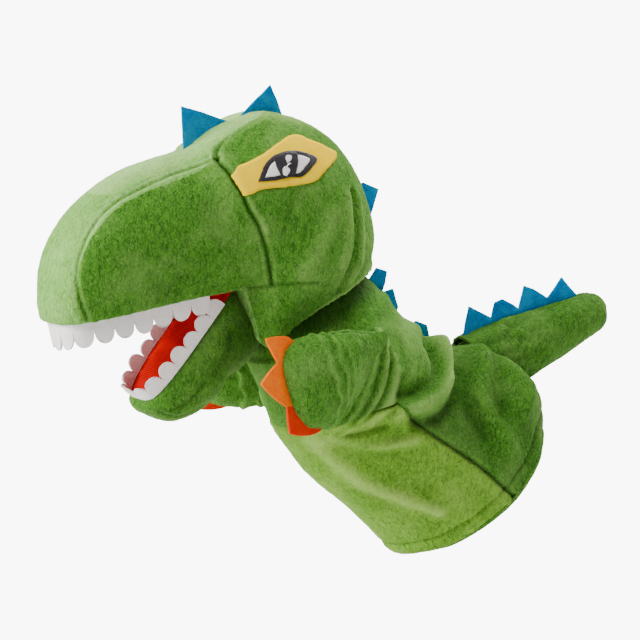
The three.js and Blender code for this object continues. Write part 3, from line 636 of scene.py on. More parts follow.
def mirrored(obj, name):
    new = obj.copy()
    new.data = obj.data.copy()
    new.name = new.data.name = name
    bpy.context.scene.collection.objects.link(new)
    new.data.transform(Matrix.Diagonal((-1, 1, 1, 1)))
    new.data.flip_normals()
    return new


def m(point, x=0.0):
    """A (y, z) point in millimetres as a point in metres."""
    return (x * MM, point[0] * MM, point[1] * MM)


# ------------------------------------------------------------------ dimensions of the form, in millimetres
HINGE = np.array(JOINTS["jaw_open"]["pos_m"][1:]) / MM
NECK = np.array(JOINTS["head_nod"]["pos_m"][1:]) / MM
TAIL_PIVOT = np.array(JOINTS["tail_lift"]["pos_m"][1:]) / MM
ARM_ROOT = np.array(JOINTS["arm_left_flap"]["pos_m"]) / MM
NECK_UP = math.degrees(math.atan2(JOINTS["neck_turn"]["axis"][2], JOINTS["neck_turn"]["axis"][1]))
NECK_TILT = NECK_UP - 90
CROWN_REACH, CROWN_WIDTH = 116, 110
THROAT_DEPTH, THROAT_ANGLE = 46, -70.4
SNOUT_LENGTH, SNOUT_HEIGHT, SNOUT_WIDTH, SNOUT_SLOPE = 114, 89, 77, 10
MOUTH_EDGE = 34.1
JAW_LENGTH, JAW_WIDTH, JAW_ANGLE, JAW_DEPTH = 90, 57, 52, 58
SLEEVE_LENGTH, SLEEVE_TILT, SLEEVE_WIDTH, HEM_DEPTH = 153, 40, 98, 121
ARM_LENGTH, ARM_WIDTH, ARM_THICKNESS = 60, 61, 27
TAIL_SLOPE, TAIL_RADIUS, TAIL_TIP_RADIUS, TAIL_STRAIGHT = 20.8, 21, 13.5, 58.5

MATERIALS = make_materials()
make_camera()
make_stage()


# ------------------------------------------------------------------ head
def mouth_point(distance, lift=0.0):
    return along(along(HINGE, 180 + SNOUT_SLOPE, distance), 90 + SNOUT_SLOPE, lift)


def crown_ring(fan, reach, throat, snout, width):
    if throat > 0:
        low, base = along(HINGE, THROAT_ANGLE, throat * THROAT_DEPTH), 0
    else:
        low, base = mouth_point(snout * SNOUT_LENGTH), MOUTH_EDGE
    return oval(low, along(HINGE, fan, reach * CROWN_REACH), width * CROWN_WIDTH / 2, base, 2.3)


def snout_ring(share, height, width):
    low = mouth_point(share * SNOUT_LENGTH)
    half = width * SNOUT_WIDTH / 2
    high = along(low, 86 + 9 * share, height * SNOUT_HEIGHT)
    return oval(low, high, half, min(MOUTH_EDGE, 0.92 * half), 2, 2.2)


# Rings of the crown: the angle at which they fan out from the hinge, then shares of the crown's reach, of the
# throat's depth, of the snout's length and of the crown's width. Rings of the snout: shares of its length, its
# height and its width.
CROWN = [(5.5, 0.92, 0.82, 0, 0.89), (15, 0.945, 0.6, 0, 0.96), (27, 0.965, 0.3, 0, 1), (39, 0.985, 0.05, 0, 1),
         (52, 1, 0, 0.004, 0.99), (66, 0.985, 0, 0.02, 0.965), (79, 0.925, 0, 0.06, 0.91), (91, 0.845, 0, 0.13, 0.84)]
SNOUT = [(0.25, 1, 1.07), (0.4, 0.98, 1.02), (0.55, 0.95, 1), (0.7, 0.865, 0.97), (0.82, 0.75, 0.91),
         (0.91, 0.6, 0.82), (0.965, 0.44, 0.7), (1, 0.29, 0.52)]
RIM_LOW = along(HINGE, THROAT_ANGLE, 0.82 * THROAT_DEPTH)
RIM_HIGH = along(HINGE, 5.5, 0.92 * CROWN_REACH)
RIM_MIDDLE = (RIM_LOW + RIM_HIGH) / 2
RIM_HALF, RIM_REACH = 0.89 * CROWN_WIDTH / 2, np.linalg.norm(RIM_HIGH - RIM_LOW) / 2
INTO_HEAD = along((0, 0), NECK_UP, 1)
RIM_ACROSS = along((0, 0), NECK_TILT, 1)


def rim_ring(scale, into, side_lift=5.0):
    """The head's rim drawn in or out, and moved into the head."""
    ring = oval(RIM_LOW, RIM_HIGH, RIM_HALF, 0, 2.3)
    middle = np.array([0, *RIM_MIDDLE])
    ring = middle + (ring - middle) * scale
    lift = into + side_lift * (ring[:, 0] / RIM_HALF) ** 2
    ring[:, 1:] += lift[:, None] * INTO_HEAD
    return ring


def rim_coordinates(points):
    """How far points lie from the neck's line, as a share of the rim, and how far into the head."""
    offset = points[:, 1:] - RIM_MIDDLE
    across, into = offset @ RIM_ACROSS, offset @ INTO_HEAD
    return np.hypot(points[:, 0] / RIM_HALF, across / RIM_REACH), into


def head_form():
    rings = [rim_ring(0.84, 15), rim_ring(0.875, 9), rim_ring(0.92, 1.5), rim_ring(0.955, -1.5),
             rim_ring(0.99, -0.8), rim_ring(1.005, 2.5)]
    rings += [crown_ring(*station) for station in CROWN[1:]]
    rings += [snout_ring(*station) for station in SNOUT]
    nose_low, nose_high = mouth_point(SNOUT_LENGTH + 2.5, 4), mouth_point(SNOUT_LENGTH + 2, 18)
    rings.append(oval(nose_low, nose_high, 13))
    obj = loft_object("head", resample(rings, 190))
    remesh(obj, 1.9, 7)
    return obj


# The seam between the crown and the snout, as (|x|, y, z), from the mouth's corner up to the crown.
BROW_SEAM = [(42.7, -156.4, 144.2), (46, -160.8, 161.1), (48.3, -164.6, 171.5), (48.1, -168.6, 181.8),
             (48.7, -174.4, 190.9), (47.1, -177.1, 198.4), (42.2, -181.1, 206.9), (36.3, -183.8, 214),
             (31.3, -187, 218.7), (27, -187, 224), (21, -172, 235), (18.5, -162, 241), (16, -154, 243.5),
             (8, -146, 246)]
CHEEK_DART = [(26.5, -169, 140), (34.7, -163.8, 141.3), (42.3, -156.3, 143), (49.4, -147.2, 143.8),
              (53.2, -129.6, 144)]
GUSSET_EDGE = [(28, -184, 219), (29, -200, 222), (30, -235, 211), (30, -269, 194), (29.5, -283, 162),
               (28, -279, 140), (27, -272, 122)]
TOP_SEAM = [(0, -146, 246), (0, -120, 242), (0, -95, 226), (0, -76, 196), (0, -67, 166)]


def on_surface(tree, line):
    """A line moved onto a surface, in millimetres."""
    found = []
    for point in fine_line(line):
        place, *_ = tree.find_nearest(Vector(point * MM))
        found.append(np.array(place) / MM)
    return np.array(found)


def seam_fields(points, tree, seams):
    """How far points on either side lie from each seam of the left side."""
    folded = np.column_stack([np.abs(points[:, 0]), points[:, 1:]])
    return [distance_to(folded, on_surface(tree, line)) for line in seams]


def behind_brow(points):
    """True for points behind the seam between the snout and the cheeks."""
    line = np.array([p[1:] for p in BROW_SEAM[:9]])
    order = np.argsort(line[:, 1])
    edge = np.interp(points[:, 2], line[order, 1], line[order, 0], left=-157, right=-190)
    return points[:, 1] > edge


def forehead_half(y):
    """Half the width of the middle panel where it runs up between the brows."""
    return np.interp(y, [-187, -172, -162, -154, -146, -140], [27, 21, 18.5, 16, 8, 0])


def make_head():
    head = head_form()
    tree = surface_tree(head)
    subdivide(head)
    points, normals = points_of(head), normals_of(head)
    brow, dart, gusset, top = seam_fields(points, tree, [BROW_SEAM, CHEEK_DART, GUSSET_EDGE, TOP_SEAM])
    radial, into = rim_coordinates(points)
    recess = (radial < 0.955) & (into < 18)
    outside = ~recess
    back = behind_brow(points)
    high = smoothstep(185, 215, points[:, 2])
    brow = brow + 3.0 * smoothstep(224, 240, points[:, 2]) * (brow < 3)
    move = -1.5 * bump(brow, 1.3) - 0.9 * bump(gusset, 1.1) - 0.8 * bump(dart, 1.2) - 1.0 * bump(top, 1.4)
    move += 0.3 * bump(gusset - 4, 3.0) + 0.4 * bump(brow - 6, 4.5)
    move += np.where(back, 1.0, 0.0) * high * 2.4 * np.exp(-brow / 12) * smoothstep(0, 3, brow)
    side = smoothstep(20, 36, np.abs(points[:, 0]))
    folds = [([(47, -174, 197), (48, -169, 188), (50.5, -163, 177)], 1.6, 1.2),
             ([(53, -143, 199), (53, -149, 189), (52, -154, 179)], 5.0, -0.9),
             ([(53, -118, 186), (54, -128, 166), (51, -138, 150)], 6.0, 1.2),
             ([(54, -120, 136), (54, -132, 128), (50, -146, 119)], 6.0, -1.2),
             ([(44, -97, 200), (46, -99, 186), (49, -99, 171), (51, -102, 159), (52, -108, 148),
               (48, -113, 137)], 2.6, -3.2),
             ([(44, -91, 196), (47, -92, 182), (49, -93, 168), (51, -96, 155), (50, -104, 144)], 4.0, 2.2),
             ([(45, -106, 196), (49, -107, 182), (52, -108, 168), (53, -112, 155)], 5.0, 1.6),
             ([(41, -200, 160), (41, -214, 148), (40, -228, 138)], 7.0, -0.7),
             ([(40, -196, 190), (41, -188, 176), (42, -180, 160)], 7.0, -0.7)]
    # Painted light and shade: fold ridges lighter as painted highlight, fold valleys darker as painted shade.
    tone = np.zeros(len(points))
    for line, width, height in folds:
        near = bump(seam_fields(points, tree, [line])[0], width) * side
        move += height * near
        tone += 0.22 * np.sign(height) * near
    move += 0.7 * lattice(points / 26, 3) * outside
    move += 0.3 * pile_noise(points, 11) * (1 - 0.6 * bump(gusset, 2))
    # Painted shade in the seam grooves and in the recess at the rim; painted highlight beside the seams, on the
    # middle of the crown's top and along the rim's edge.
    tone += -0.9 * bump(brow, 1.1) - 0.5 * bump(gusset, 0.8) - 0.6 * bump(dart, 0.9) - 0.6 * bump(top, 1.0)
    tone += 0.25 * bump(gusset - 2.2, 1.0) + 0.12 * bump(brow - 3, 1.5) - 0.75 * recess
    tone += 0.3 * smoothstep(24, 12, np.abs(points[:, 0])) * (points[:, 2] > 200)
    tone += 0.45 * bump(radial - 0.985, 0.02) * (into < 6) * outside
    flap = bump(points[:, 1] + 160, 20) * bump(points[:, 2] - 104, 22) * side
    points[:, 2] -= 14 * flap
    points[:, 1] -= 4 * bump(points[:, 2] - 160, 45) * smoothstep(-112, -85, points[:, 1])
    move_points(head, points + normals * move[:, None])
    set_light_and_shade(head, tone)
    finished = surface_tree(head)

    centres = face_centres(head)
    radial, into = rim_coordinates(centres)
    recess = (radial < 0.955) & (into < 18)
    back = behind_brow(centres)
    half = np.abs(centres[:, 0])
    upper = centres[:, 2] > 200
    front_half = np.where(centres[:, 2] > 212,
                          np.interp(centres[:, 1], [-269, -235, -200, -184], [30, 30, 29, 28]), 28.5)
    middle = np.where(back, upper & (half < forehead_half(centres[:, 1])), half < front_half)
    left, side = centres[:, 0] > 0, ~recess & ~middle
    # The middle panel wears the paler copy of the green plush, as painted top light.
    panels = [("snout_gusset_cloth", ~recess & middle, "forehead_painted_light", ("snout_gusset", "snout_stuffing")),
              ("snout_side_left_cloth", side & ~back & left, "green", ("snout_side_left",)),
              ("snout_side_right_cloth", side & ~back & ~left, "green", ("snout_side_right",)),
              ("cheek_left_cloth", side & back & left, "green",
               ("cheek_left", "cheek_stuffing_left", "crown_stuffing")),
              ("cheek_right_cloth", side & back & ~left, "green", ("cheek_right", "cheek_stuffing_right")),
              ("nape_cloth", recess, "green", ("nape_panel",))]
    for name, keep, finish, nodes in panels:
        panel = copy_faces(head, name, keep)
        dress(panel, finish, "head", nodes)
    discard(head)
    return finished


# ------------------------------------------------------------------ jaw and mouth
def palate_point(distance):
    return along(HINGE, 180 + JAW_ANGLE, distance)


def make_jaw():
    rings = [oval((-146, 108), (-160, 126), 17, 0, 2, 2), oval((-151, 98), (-165, 131), 23, 0, 2, 2),
             oval((-162, 87), (-170, 135.5), 27, 0, 2.2, 3)]
    # Shares of the palate's length, the depth below it, the angle at which that lies, and the width.
    stations = [(0.03, 0.99, -88, 1.02), (0.22, 0.93, -83, 1.05), (0.5, 0.74, -72, 1.05), (0.76, 0.55, -60, 1.0),
                (0.9, 0.42, -54, 0.88), (0.97, 0.3, -50, 0.7), (1.005, 0.17, -47, 0.48)]
    for share, depth, fan, width in stations:
        palate = palate_point(share * JAW_LENGTH)
        under = along(palate, fan, depth * JAW_DEPTH)
        half = width * JAW_WIDTH / 2
        rings.append(oval(under, palate, half, 0, 2.2, 6))
    nose = palate_point(1.03 * JAW_LENGTH)
    rings.append(oval(along(nose, -45, 8), along(nose, -45, 2), 8))
    jaw = loft_object("jaw_cloth", resample(rings, 110))
    remesh(jaw, 1.7, 4)
    tree = surface_tree(jaw)
    subdivide(jaw)
    points, normals = points_of(jaw), normals_of(jaw)
    creases = seam_fields(points, tree, [[(24, -215, 66), (26, -205, 72), (27, -196, 82)],
                                         [(20, -222, 62), (22, -208, 60), (22, -194, 66)],
                                         [(26, -190, 88), (28, -182, 98), (28, -178, 112)]])
    move = 0.6 * lattice(points / 17, 21) + 0.3 * pile_noise(points, 23)
    # Painted shade: darker in the creases, darker all over as the jaw lies under the head, and darker still towards
    # the back.
    tone = np.zeros(len(points))
    for near, width in zip(creases, (2.5, 3.0, 5.0)):
        move -= 1.3 * bump(near, width)
        tone -= 0.4 * bump(near, width * 0.6)
    tone -= 0.22 + 0.3 * smoothstep(-185, -172, points[:, 1])
    move_points(jaw, points + normals * move[:, None])
    set_light_and_shade(jaw, tone)
    dress(jaw, "green", None, ("jaw_skin", "jaw_stuffing"))
    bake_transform(jaw)


def outline(width, length, squareness, start, steps):
    """A blunt U in the palate's plane as (across, forward), from one side round to the other."""
    turn = np.linspace(-np.pi / 2, np.pi / 2, 2001)
    across = width / 2 * signed_power(np.sin(turn), 2 / squareness)
    forward = length * np.maximum(0, np.cos(turn)) ** (2 / squareness)
    line = np.stack([across, forward], axis=1)[forward > start]
    line = np.concatenate([[[-width / 2, start]], line, [[width / 2, start]]])
    run = np.concatenate([[0], np.cumsum(np.linalg.norm(np.diff(line, axis=0), axis=1))])
    at = np.linspace(0, run[-1], steps)
    return np.stack([np.interp(at, run, line[:, 0]), np.interp(at, run, line[:, 1])], axis=1)


def palate_frame(angle):
    forward = np.array([0, math.cos(math.radians(angle)), math.sin(math.radians(angle))])
    return forward, np.cross(forward, [1, 0, 0])


def make_teeth(name, palate, place, count, heights, valleys, splay):
    """A felt strip sewn in round a palate, with rounded teeth cut along its free edge. palate is its width, its
    length and its angle; place is how far out the strip starts, its level and which way the teeth point. heights
    and valleys are those at the strip's ends, near its middle and at its middle."""
    (width, length, angle), (start, level, direction) = palate, place
    forward, up = palate_frame(angle)
    columns, rows = count * 22 + 1, 9
    line = outline(width, length, 4.5, start, columns)
    share = np.linspace(0, 1, columns)
    middle = 1 - np.abs(2 * share - 1)
    tooth = (share * count) % 1
    number = np.minimum((share * count).astype(int), count - 1)
    round_top = np.maximum(0, 1 - np.abs(2 * tooth - 1) ** 2.3) ** 0.5
    peak = np.interp(middle, [0, 0.45, 1], heights) * (1 + 0.09 * rng.uniform(-1, 1, count)[number])
    valley = np.interp(middle, [0, 0.45, 1], valleys)
    tall = valley + (peak - valley) * round_top
    tangent = np.gradient(line, axis=0)
    tangent /= np.linalg.norm(tangent, axis=1, keepdims=True)
    side = np.outer(tangent[:, 1], [1, 0, 0]) - np.outer(tangent[:, 0], forward)
    side *= -1 if (side[0] @ [1, 0, 0]) > 0 else 1
    edge = np.array([0, *HINGE]) + np.outer(line[:, 0], [1, 0, 0]) + np.outer(line[:, 1], forward) + up * level
    lean = splay + 0.10 * rng.uniform(-1, 1, count)[number]
    sheet = []
    for t in np.linspace(0, 1, rows):
        height = tall * t
        out = lean * height * (0.4 + 0.6 * t)
        sheet.append(edge + direction * height[:, None] * up + out[:, None] * side)
    obj = object_from(name, np.array(sheet).reshape(-1, 3), grid_faces(rows, columns, False))
    thick_felt(obj, 1.5, 0.35)
    outwards(obj)
    points = points_of(obj)
    move_points(obj, points + normals_of(obj) * (0.12 * lattice(points / 1.7, 31))[:, None])
    dress(obj, "white")
    return obj


def make_mouth():
    """One red lining runs along both palates and folds at the hinge."""
    upper_forward, upper_up = palate_frame(180 + SNOUT_SLOPE)
    lower_forward, lower_up = palate_frame(180 + JAW_ANGLE)
    rows, columns, fold = 130, 60, 5.0
    sheet = []
    for share in np.linspace(-1, 1, rows):
        length, full = (SNOUT_LENGTH - 5, 29.5) if share < 0 else (JAW_LENGTH - 4, 24.8)
        distance = share * length
        past = abs(distance) / length
        half = full * max(0.0, 1 - past**4.5) ** (1 / 4.5)
        across = np.linspace(-1, 1, columns) * max(half, 4.0)
        t = smoothstep(-fold, fold, distance)
        place = np.array([0, *HINGE]) + upper_forward * abs(min(distance, 0)) + lower_forward * max(distance, 0)
        lift = np.array([0, *along((0, 0), 180 + (SNOUT_SLOPE + JAW_ANGLE) / 2, 1)])
        if abs(distance) < fold:
            place = place + lift * 2.5 * (1 - (distance / fold) ** 2)
        down = -upper_up * (1 - t) + lower_up * t
        crown = 1 - (across / max(half, 4.0)) ** 4
        swell_by = 0.7 + 1.0 * crown * (1 - past**6)
        row = place + np.outer(across, [1, 0, 0]) + swell_by[:, None] * down
        sheet.append(row)
    obj = grid_object("mouth_lining", sheet, rows, columns)
    points, normals = points_of(obj), normals_of(obj)
    hinge_distance = np.linalg.norm(points[:, 1:] - HINGE, axis=1)
    wrinkle = 0.5 * lattice(points * [0.35, 1, 1] / 9, 41) * np.exp(-hinge_distance / 40)
    wrinkle += 0.25 * lattice(points / 14, 43)
    move_points(obj, points + normals * wrinkle[:, None])
    thicken(obj, 0.8, 0)
    dress(obj, "red", None, ("mouth_lining_upper", "mouth_lining_lower", "mouth_hinge_fold"))
    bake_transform(obj)
    upper = make_teeth("upper_teeth", (60.6, 111, 180 + SNOUT_SLOPE), (20, 0.6, -1), 17, (10, 15, 17),
                       (2, 5, 7), 0.04)
    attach(upper, "head")
    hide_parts("teeth_upper")
    lower = make_teeth("lower_teeth", (51.5, 87, 180 + JAW_ANGLE), (12, -0.5, 1), 15, (9.5, 10.5, 11),
                       (3, 3.5, 4), 0.02)
    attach(lower, "jaw")
    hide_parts("teeth_lower")
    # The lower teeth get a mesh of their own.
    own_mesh(lower)


# ------------------------------------------------------------------ eyes
def flat_piece(name, line, grain):
    """A flat piece in the middle plane with that outline in (y, z), made of small triangles."""
    obj = object_from(name, [(0, *p) for p in line], [range(len(line))])

    def fill(b):
        bmesh.ops.triangulate(b, faces=b.faces[:])
        for _ in range(4):
            long_edges = [e for e in b.edges if e.calc_length() > 2.2 * grain * MM]
            if not long_edges:
                break
            bmesh.ops.subdivide_edges(b, edges=long_edges, cuts=1)
            bmesh.ops.triangulate(b, faces=[f for f in b.faces if len(f.verts) > 3])
            bmesh.ops.beautify_fill(b, faces=b.faces[:], edges=b.edges[:])

    edit(obj, fill)
    return obj


def decal(name, shape, tree, lift, thickness, finish, node, grain=1.1):
    """A flat shape laid on each side of the head, from its outline in (y, z)."""
    shape = np.asarray(shape, float)
    line = spline(np.arange(len(shape) + 1), np.vstack([shape, shape[:1]]), np.arange(0, len(shape), 0.2))
    obj = flat_piece(name, line, grain)
    placed = []
    for _, y, z in points_of(obj):
        hit, normal, *_ = tree.ray_cast(Vector((0.09, y * MM, z * MM)), Vector((-1, 0, 0)))
        placed.append((np.array(hit) + np.array(normal) * lift * MM) / MM)
    move_points(obj, np.array(placed))
    modify(obj, "SMOOTH", factor=0.5, iterations=2)
    outwards(obj)
    if sum(p.normal.x for p in obj.data.polygons) < 0:
        obj.data.flip_normals()
    thicken(obj, thickness)
    outwards(obj)
    right = mirrored(obj, name.replace("left", "right"))
    dress(obj, finish, "head", (node,) if node else ())
    dress(right, finish, "head", (node.replace("left", "right"),) if node else ())
    if finish == "yellow":
        cut_flat(shape)
        cut_flat(shape)


def make_eyes(tree):
    low, high = (np.array(corner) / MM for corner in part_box("eye_patch_left"))
    centre = (low + high)[1:] / 2
    patch = [(-34.9, -5.4), (-31.3, -0.3), (-23.3, 3.0), (-13.4, 7.5), (-2.3, 13.0), (6.5, 17.0), (13.8, 17.1),
             (21.6, 14.1), (29.9, 10.6), (37.7, 6.4), (39.1, 4.0), (36.4, 0.8), (28.2, -3.8), (18.8, -9.8),
             (12.5, -11.9), (4.0, -12.7), (-6.5, -14.0), (-18.6, -15.0), (-26.1, -17.7), (-30.0, -17.7),
             (-32.5, -13.7), (-34.2, -9.0)]
    almond = [(-20.2, -9.6), (-16.5, -3.0), (-12.7, 1.7), (-6.6, 5.6), (2.1, 7.6), (10.1, 6.8), (19.6, 2.6),
              (14.3, -2.9), (6.9, -7.6), (-0.8, -7.8), (-10.1, -9.2)]
    white = [(-17.3, -8.0), (-15.3, -4.2), (-11.6, 0.7), (-5.7, 4.1), (1.3, 5.8), (9.6, 5.4), (16.0, 2.4),
             (11.6, -2.2), (6.2, -5.9), (-0.5, -6.3), (-9.8, -7.5)]
    iris = [(-8.6, -0.8), (-8.6, 3.3), (-4.7, 5.2), (1.8, 6.9), (6.9, 5.8), (7.0, 2.8), (5.3, -2.5), (2.2, -6.6),
            (-2.7, -7.7), (-6.5, -7.8), (-7.4, -5.0)]
    upper_glint = [(-1.8, 3.1), (0.0, 4.9), (2.5, 4.5), (2.4, 2.4), (0.7, 0.8), (-1.3, 1.1)]
    lower_glint = [(-5.1, -3.3), (-3.2, -1.7), (-0.8, -2.5), (-0.7, -4.9), (-2.7, -7.0), (-5.0, -6.4)]
    bridge = [(-1.3, 1.1), (-0.2, 0.4), (1.8, 0.1), (-0.8, -1.5), (-2.2, -2.7), (-3.3, -2.1), (-0.9, -0.3)]

    def grown(shape, scale):
        middle = np.mean(shape, axis=0)
        return middle + (np.array(shape) - middle) * scale

    def placed(shape):
        return np.array(shape) + centre

    decal("eye_patch_left_satin", placed(patch), tree, 0.9, 1.2, "yellow", "eye_patch_left", 1.5)
    decal("eye_outline_left_thread", placed(grown(almond, 1.07)), tree, 1.4, 0.9, "black_thread",
          "eye_outline_left")
    decal("eye_white_left_thread", placed(grown(white, 0.95)), tree, 1.75, 0.8, "white_thread", "eye_white_left")
    decal("eye_iris_left_thread", placed(iris), tree, 2.1, 0.8, "black_thread", "eye_iris_left", 0.8)
    for number, glint in enumerate([upper_glint, lower_glint, bridge], 1):
        decal(f"eye_glint_left_{number}", placed(glint), tree, 2.4, 0.7, "white_thread", None, 0.6)


# ------------------------------------------------------------------ felt spikes and claws
def felt_piece(name, shape, body, node, curl=0.0, lean=0.0, grain=1.6):
    """A row of felt spikes in the middle plane, with that outline in (y, z) and tips bent to the side."""
    shape = np.asarray(shape, float)
    edge = []
    for p, q in zip(shape, np.roll(shape, -1, axis=0)):
        steps = max(1, int(np.linalg.norm(q - p) / grain))
        edge += [p + (q - p) * k / steps for k in range(steps)]
    obj = flat_piece(name, edge, grain)
    points = points_of(obj)
    rise = points[:, 2] - points[:, 2].min()
    points[:, 0] = lean * rise + curl * (rise / 20) ** 2 * 6 + 0.5 * lattice(points / 9, 51)
    move_points(obj, points)
    outwards(obj)
    thick_felt(obj, 1.6, 0.3)
    dress(obj, "blue", body, (node,))
    cut_flat(shape)


def make_spikes():
    crown = [(-197, 221), (-198.5, 252), (-183, 247.5), (-168.5, 242), (-161, 242.5), (-150, 253), (-138, 263.5),
             (-133.5, 254), (-129.5, 243), (-131, 238), (-150, 238), (-168, 235), (-182, 228)]
    felt_piece("head_spikes_felt", crown, "head", "head_spikes",
               lean=0.02)
    nape = [(-78, 199), (-73, 200), (-62.5, 195.5), (-65, 188), (-68, 180), (-73, 178), (-79, 186)]
    felt_piece("nape_spike_felt", nape, "head", "nape_spike", lean=-0.05)
    back = [(-76, 135), (-69, 147), (-61.5, 144.5), (-62, 137), (-63.5, 131), (-56, 133), (-51, 121), (-53, 114),
            (-49, 112), (-46, 113), (-44, 106), (-38, 111.5), (-30, 108.5), (-27, 98), (-24, 93), (-30, 88),
            (-45, 98), (-60, 116)]
    felt_piece("back_spikes_felt", back, "torso", "back_spikes", curl=0.1, lean=0.08)
    tail = [(-4, 100), (-3, 103), (0, 119), (8, 115), (16, 111), (18.5, 120.5), (24, 122.5), (31, 119), (35.5, 116),
            (39, 130.5), (46, 128), (56, 122), (66, 134.8), (71, 129), (77, 123), (70, 117), (50, 110), (30, 105),
            (12, 99), (3, 96)]
    felt_piece("tail_spikes_felt", tail, "tail", "tail_spikes", lean=0.03)


# ------------------------------------------------------------------ sleeve
def sleeve_point(up, back):
    return along(along((0, 0), 90 + SLEEVE_TILT, up), SLEEVE_TILT, back)


SLEEVE = [(0, -0.48, 0.52, 0.95), (0.13, -0.485, 0.535, 0.98), (0.3, -0.5, 0.465, 1), (0.45, -0.515, 0.385, 1),
          (0.62, -0.525, 0.31, 0.99), (0.8, -0.54, 0.275, 0.975)]
ALONG_SLEEVE = along((0, 0), 90 + SLEEVE_TILT, 1)
BACK_OF_SLEEVE = along((0, 0), SLEEVE_TILT, 1)
SLEEVE_END = 0.8


def sleeve_frame():
    """For shares of the sleeve: the front and back points and half the width."""
    shares, low, high, half = [], [], [], []
    for share, front, back, width in SLEEVE:
        shares.append(share)
        low.append(sleeve_point(share * SLEEVE_LENGTH, front * HEM_DEPTH))
        high.append(sleeve_point(share * SLEEVE_LENGTH, back * HEM_DEPTH))
        half.append(width * SLEEVE_WIDTH / 2)
    top = along(NECK, NECK_UP, -10)
    shares.append(1.0)
    low.append(along(top, NECK_TILT, -48.5))
    high.append(along(top, NECK_TILT, 48.5))
    half.append(46.5)
    return np.array(shares), np.array(low), np.array(high), np.array(half)


SLEEVE_FRAME = sleeve_frame()


def sleeve_surface(share, angle):
    """Points of the sleeve at shares of its length and angles round it, from -90 degrees at the belly to 90."""
    shares, lows, highs, halves = SLEEVE_FRAME
    low, high, half = (spline(shares, keys, share) for keys in (lows, highs, halves))
    centre, across = (low + high) / 2, (high - low) / 2
    power = 2 / 2.15
    x = half * signed_power(np.cos(angle), power)
    w = signed_power(np.sin(angle), power)
    return np.stack([x, centre[:, 0] + across[:, 0] * w, centre[:, 1] + across[:, 1] * w], axis=1)


def sleeve_coordinates(points):
    """How far up the sleeve and how far back points lie, in millimetres."""
    return points[:, 1:] @ ALONG_SLEEVE, points[:, 1:] @ BACK_OF_SLEEVE


# Folds as lines of (up, back) on the sleeve's side: the line, half the width, the height and the painted light and
# shade, lighter on ridges and darker in valleys.
FOLDS = [
    ([(108, 42), (97, 39), (88, 34), (84, 25), (83, 13), (87, -3), (95, -16)], 6.5, 9.0, 0.5),
    ([(101, 32), (92, 26), (88, 17), (91, 3), (98, -10)], 5.0, -6.0, -0.6),
    ([(93, 47), (86, 42), (78, 30), (71, 18), (71, 3), (80, -12)], 4.5, -5.0, -0.45),
    ([(112, 42), (99, 45), (87, 45), (70, 47), (53, 49), (31, 51)], 9.0, 10.0, 0.35),
    ([(126, 25), (115, 27), (100, 24)], 9.0, 3.0, 0.2),
    ([(141, 8), (128, 16), (113, 14), (104, 6)], 6.0, 1.6, 0.1),
    ([(107, -2), (102, -8), (97, -23)], 2.5, -1.6, -0.4),
    ([(141, 4), (139, -2), (129, -17), (120, -30), (114, -46), (117, -60)], 2.2, 1.9, 0.45),
    ([(143, 0), (134, -12), (124, -25), (117, -39), (116, -53)], 2.0, -2.0, -0.5),
    ([(134, 3), (123, -7), (113, -20), (109, -33), (112, -51)], 2.2, 1.9, 0.4),
    ([(137, 3), (126, -11), (116, -24), (111, -38), (113, -52)], 1.8, -1.8, -0.45),
    ([(122, 0), (110, -11), (105, -21), (105, -33), (109, -46)], 2.3, 1.8, 0.35),
    ([(128, 1), (116, -9), (109, -20), (107, -33), (110, -48)], 1.8, -1.7, -0.4),
    ([(114, -2), (105, -13), (101, -24), (101, -34)], 2.4, 1.3, 0.25),
    ([(104, -46), (98, -38), (92, -29)], 2.2, -2.2, -0.7),
    ([(108, -54), (93, -46), (80, -32), (72, -19)], 4.0, 2.8, 0.4),
    ([(99, -51), (86, -43), (74, -33)], 3.5, -1.6, -0.25),
    ([(112, -60), (95, -57), (78, -54), (62, -50), (42, -42), (22, -33)], 3.6, 3.4, 0.55),
    ([(104, -52), (90, -50), (74, -46), (58, -41), (40, -32)], 6.5, -2.2, -0.22),
    ([(98, -64), (80, -62), (62, -59), (44, -52)], 5.0, -1.8, -0.2),
    ([(60, 20), (46, 10), (36, -4)], 9.0, -1.6, -0.1),
    ([(74, 40), (68, 30), (56, 22), (40, 20)], 6.0, -3.0, -0.3),
    ([(66, 34), (54, 32), (40, 30), (22, 28)], 6.0, 2.6, 0.2),
    ([(62, 52), (50, 40), (40, 36)], 5.0, -2.6, -0.35),
    ([(80, 20), (76, 8), (80, -6)], 4.0, 2.0, 0.2),
    ([(52, 34), (34, 30), (16, 26)], 8.0, 1.6, 0.12),
    ([(30, -20), (16, -20), (2, -22)], 6.0, 1.4, 0.1),
]
SEAM_HEM, SEAM_TOP = 8, -28


def seam_back(up):
    """Where the side seam lies across the sleeve, at a height up it."""
    under_arm = 1.7 * np.maximum(0, up - 99)
    return SEAM_HEM + (SEAM_TOP - SEAM_HEM) * up / SLEEVE_LENGTH + 1.5 * np.sin(up / 16) - under_arm


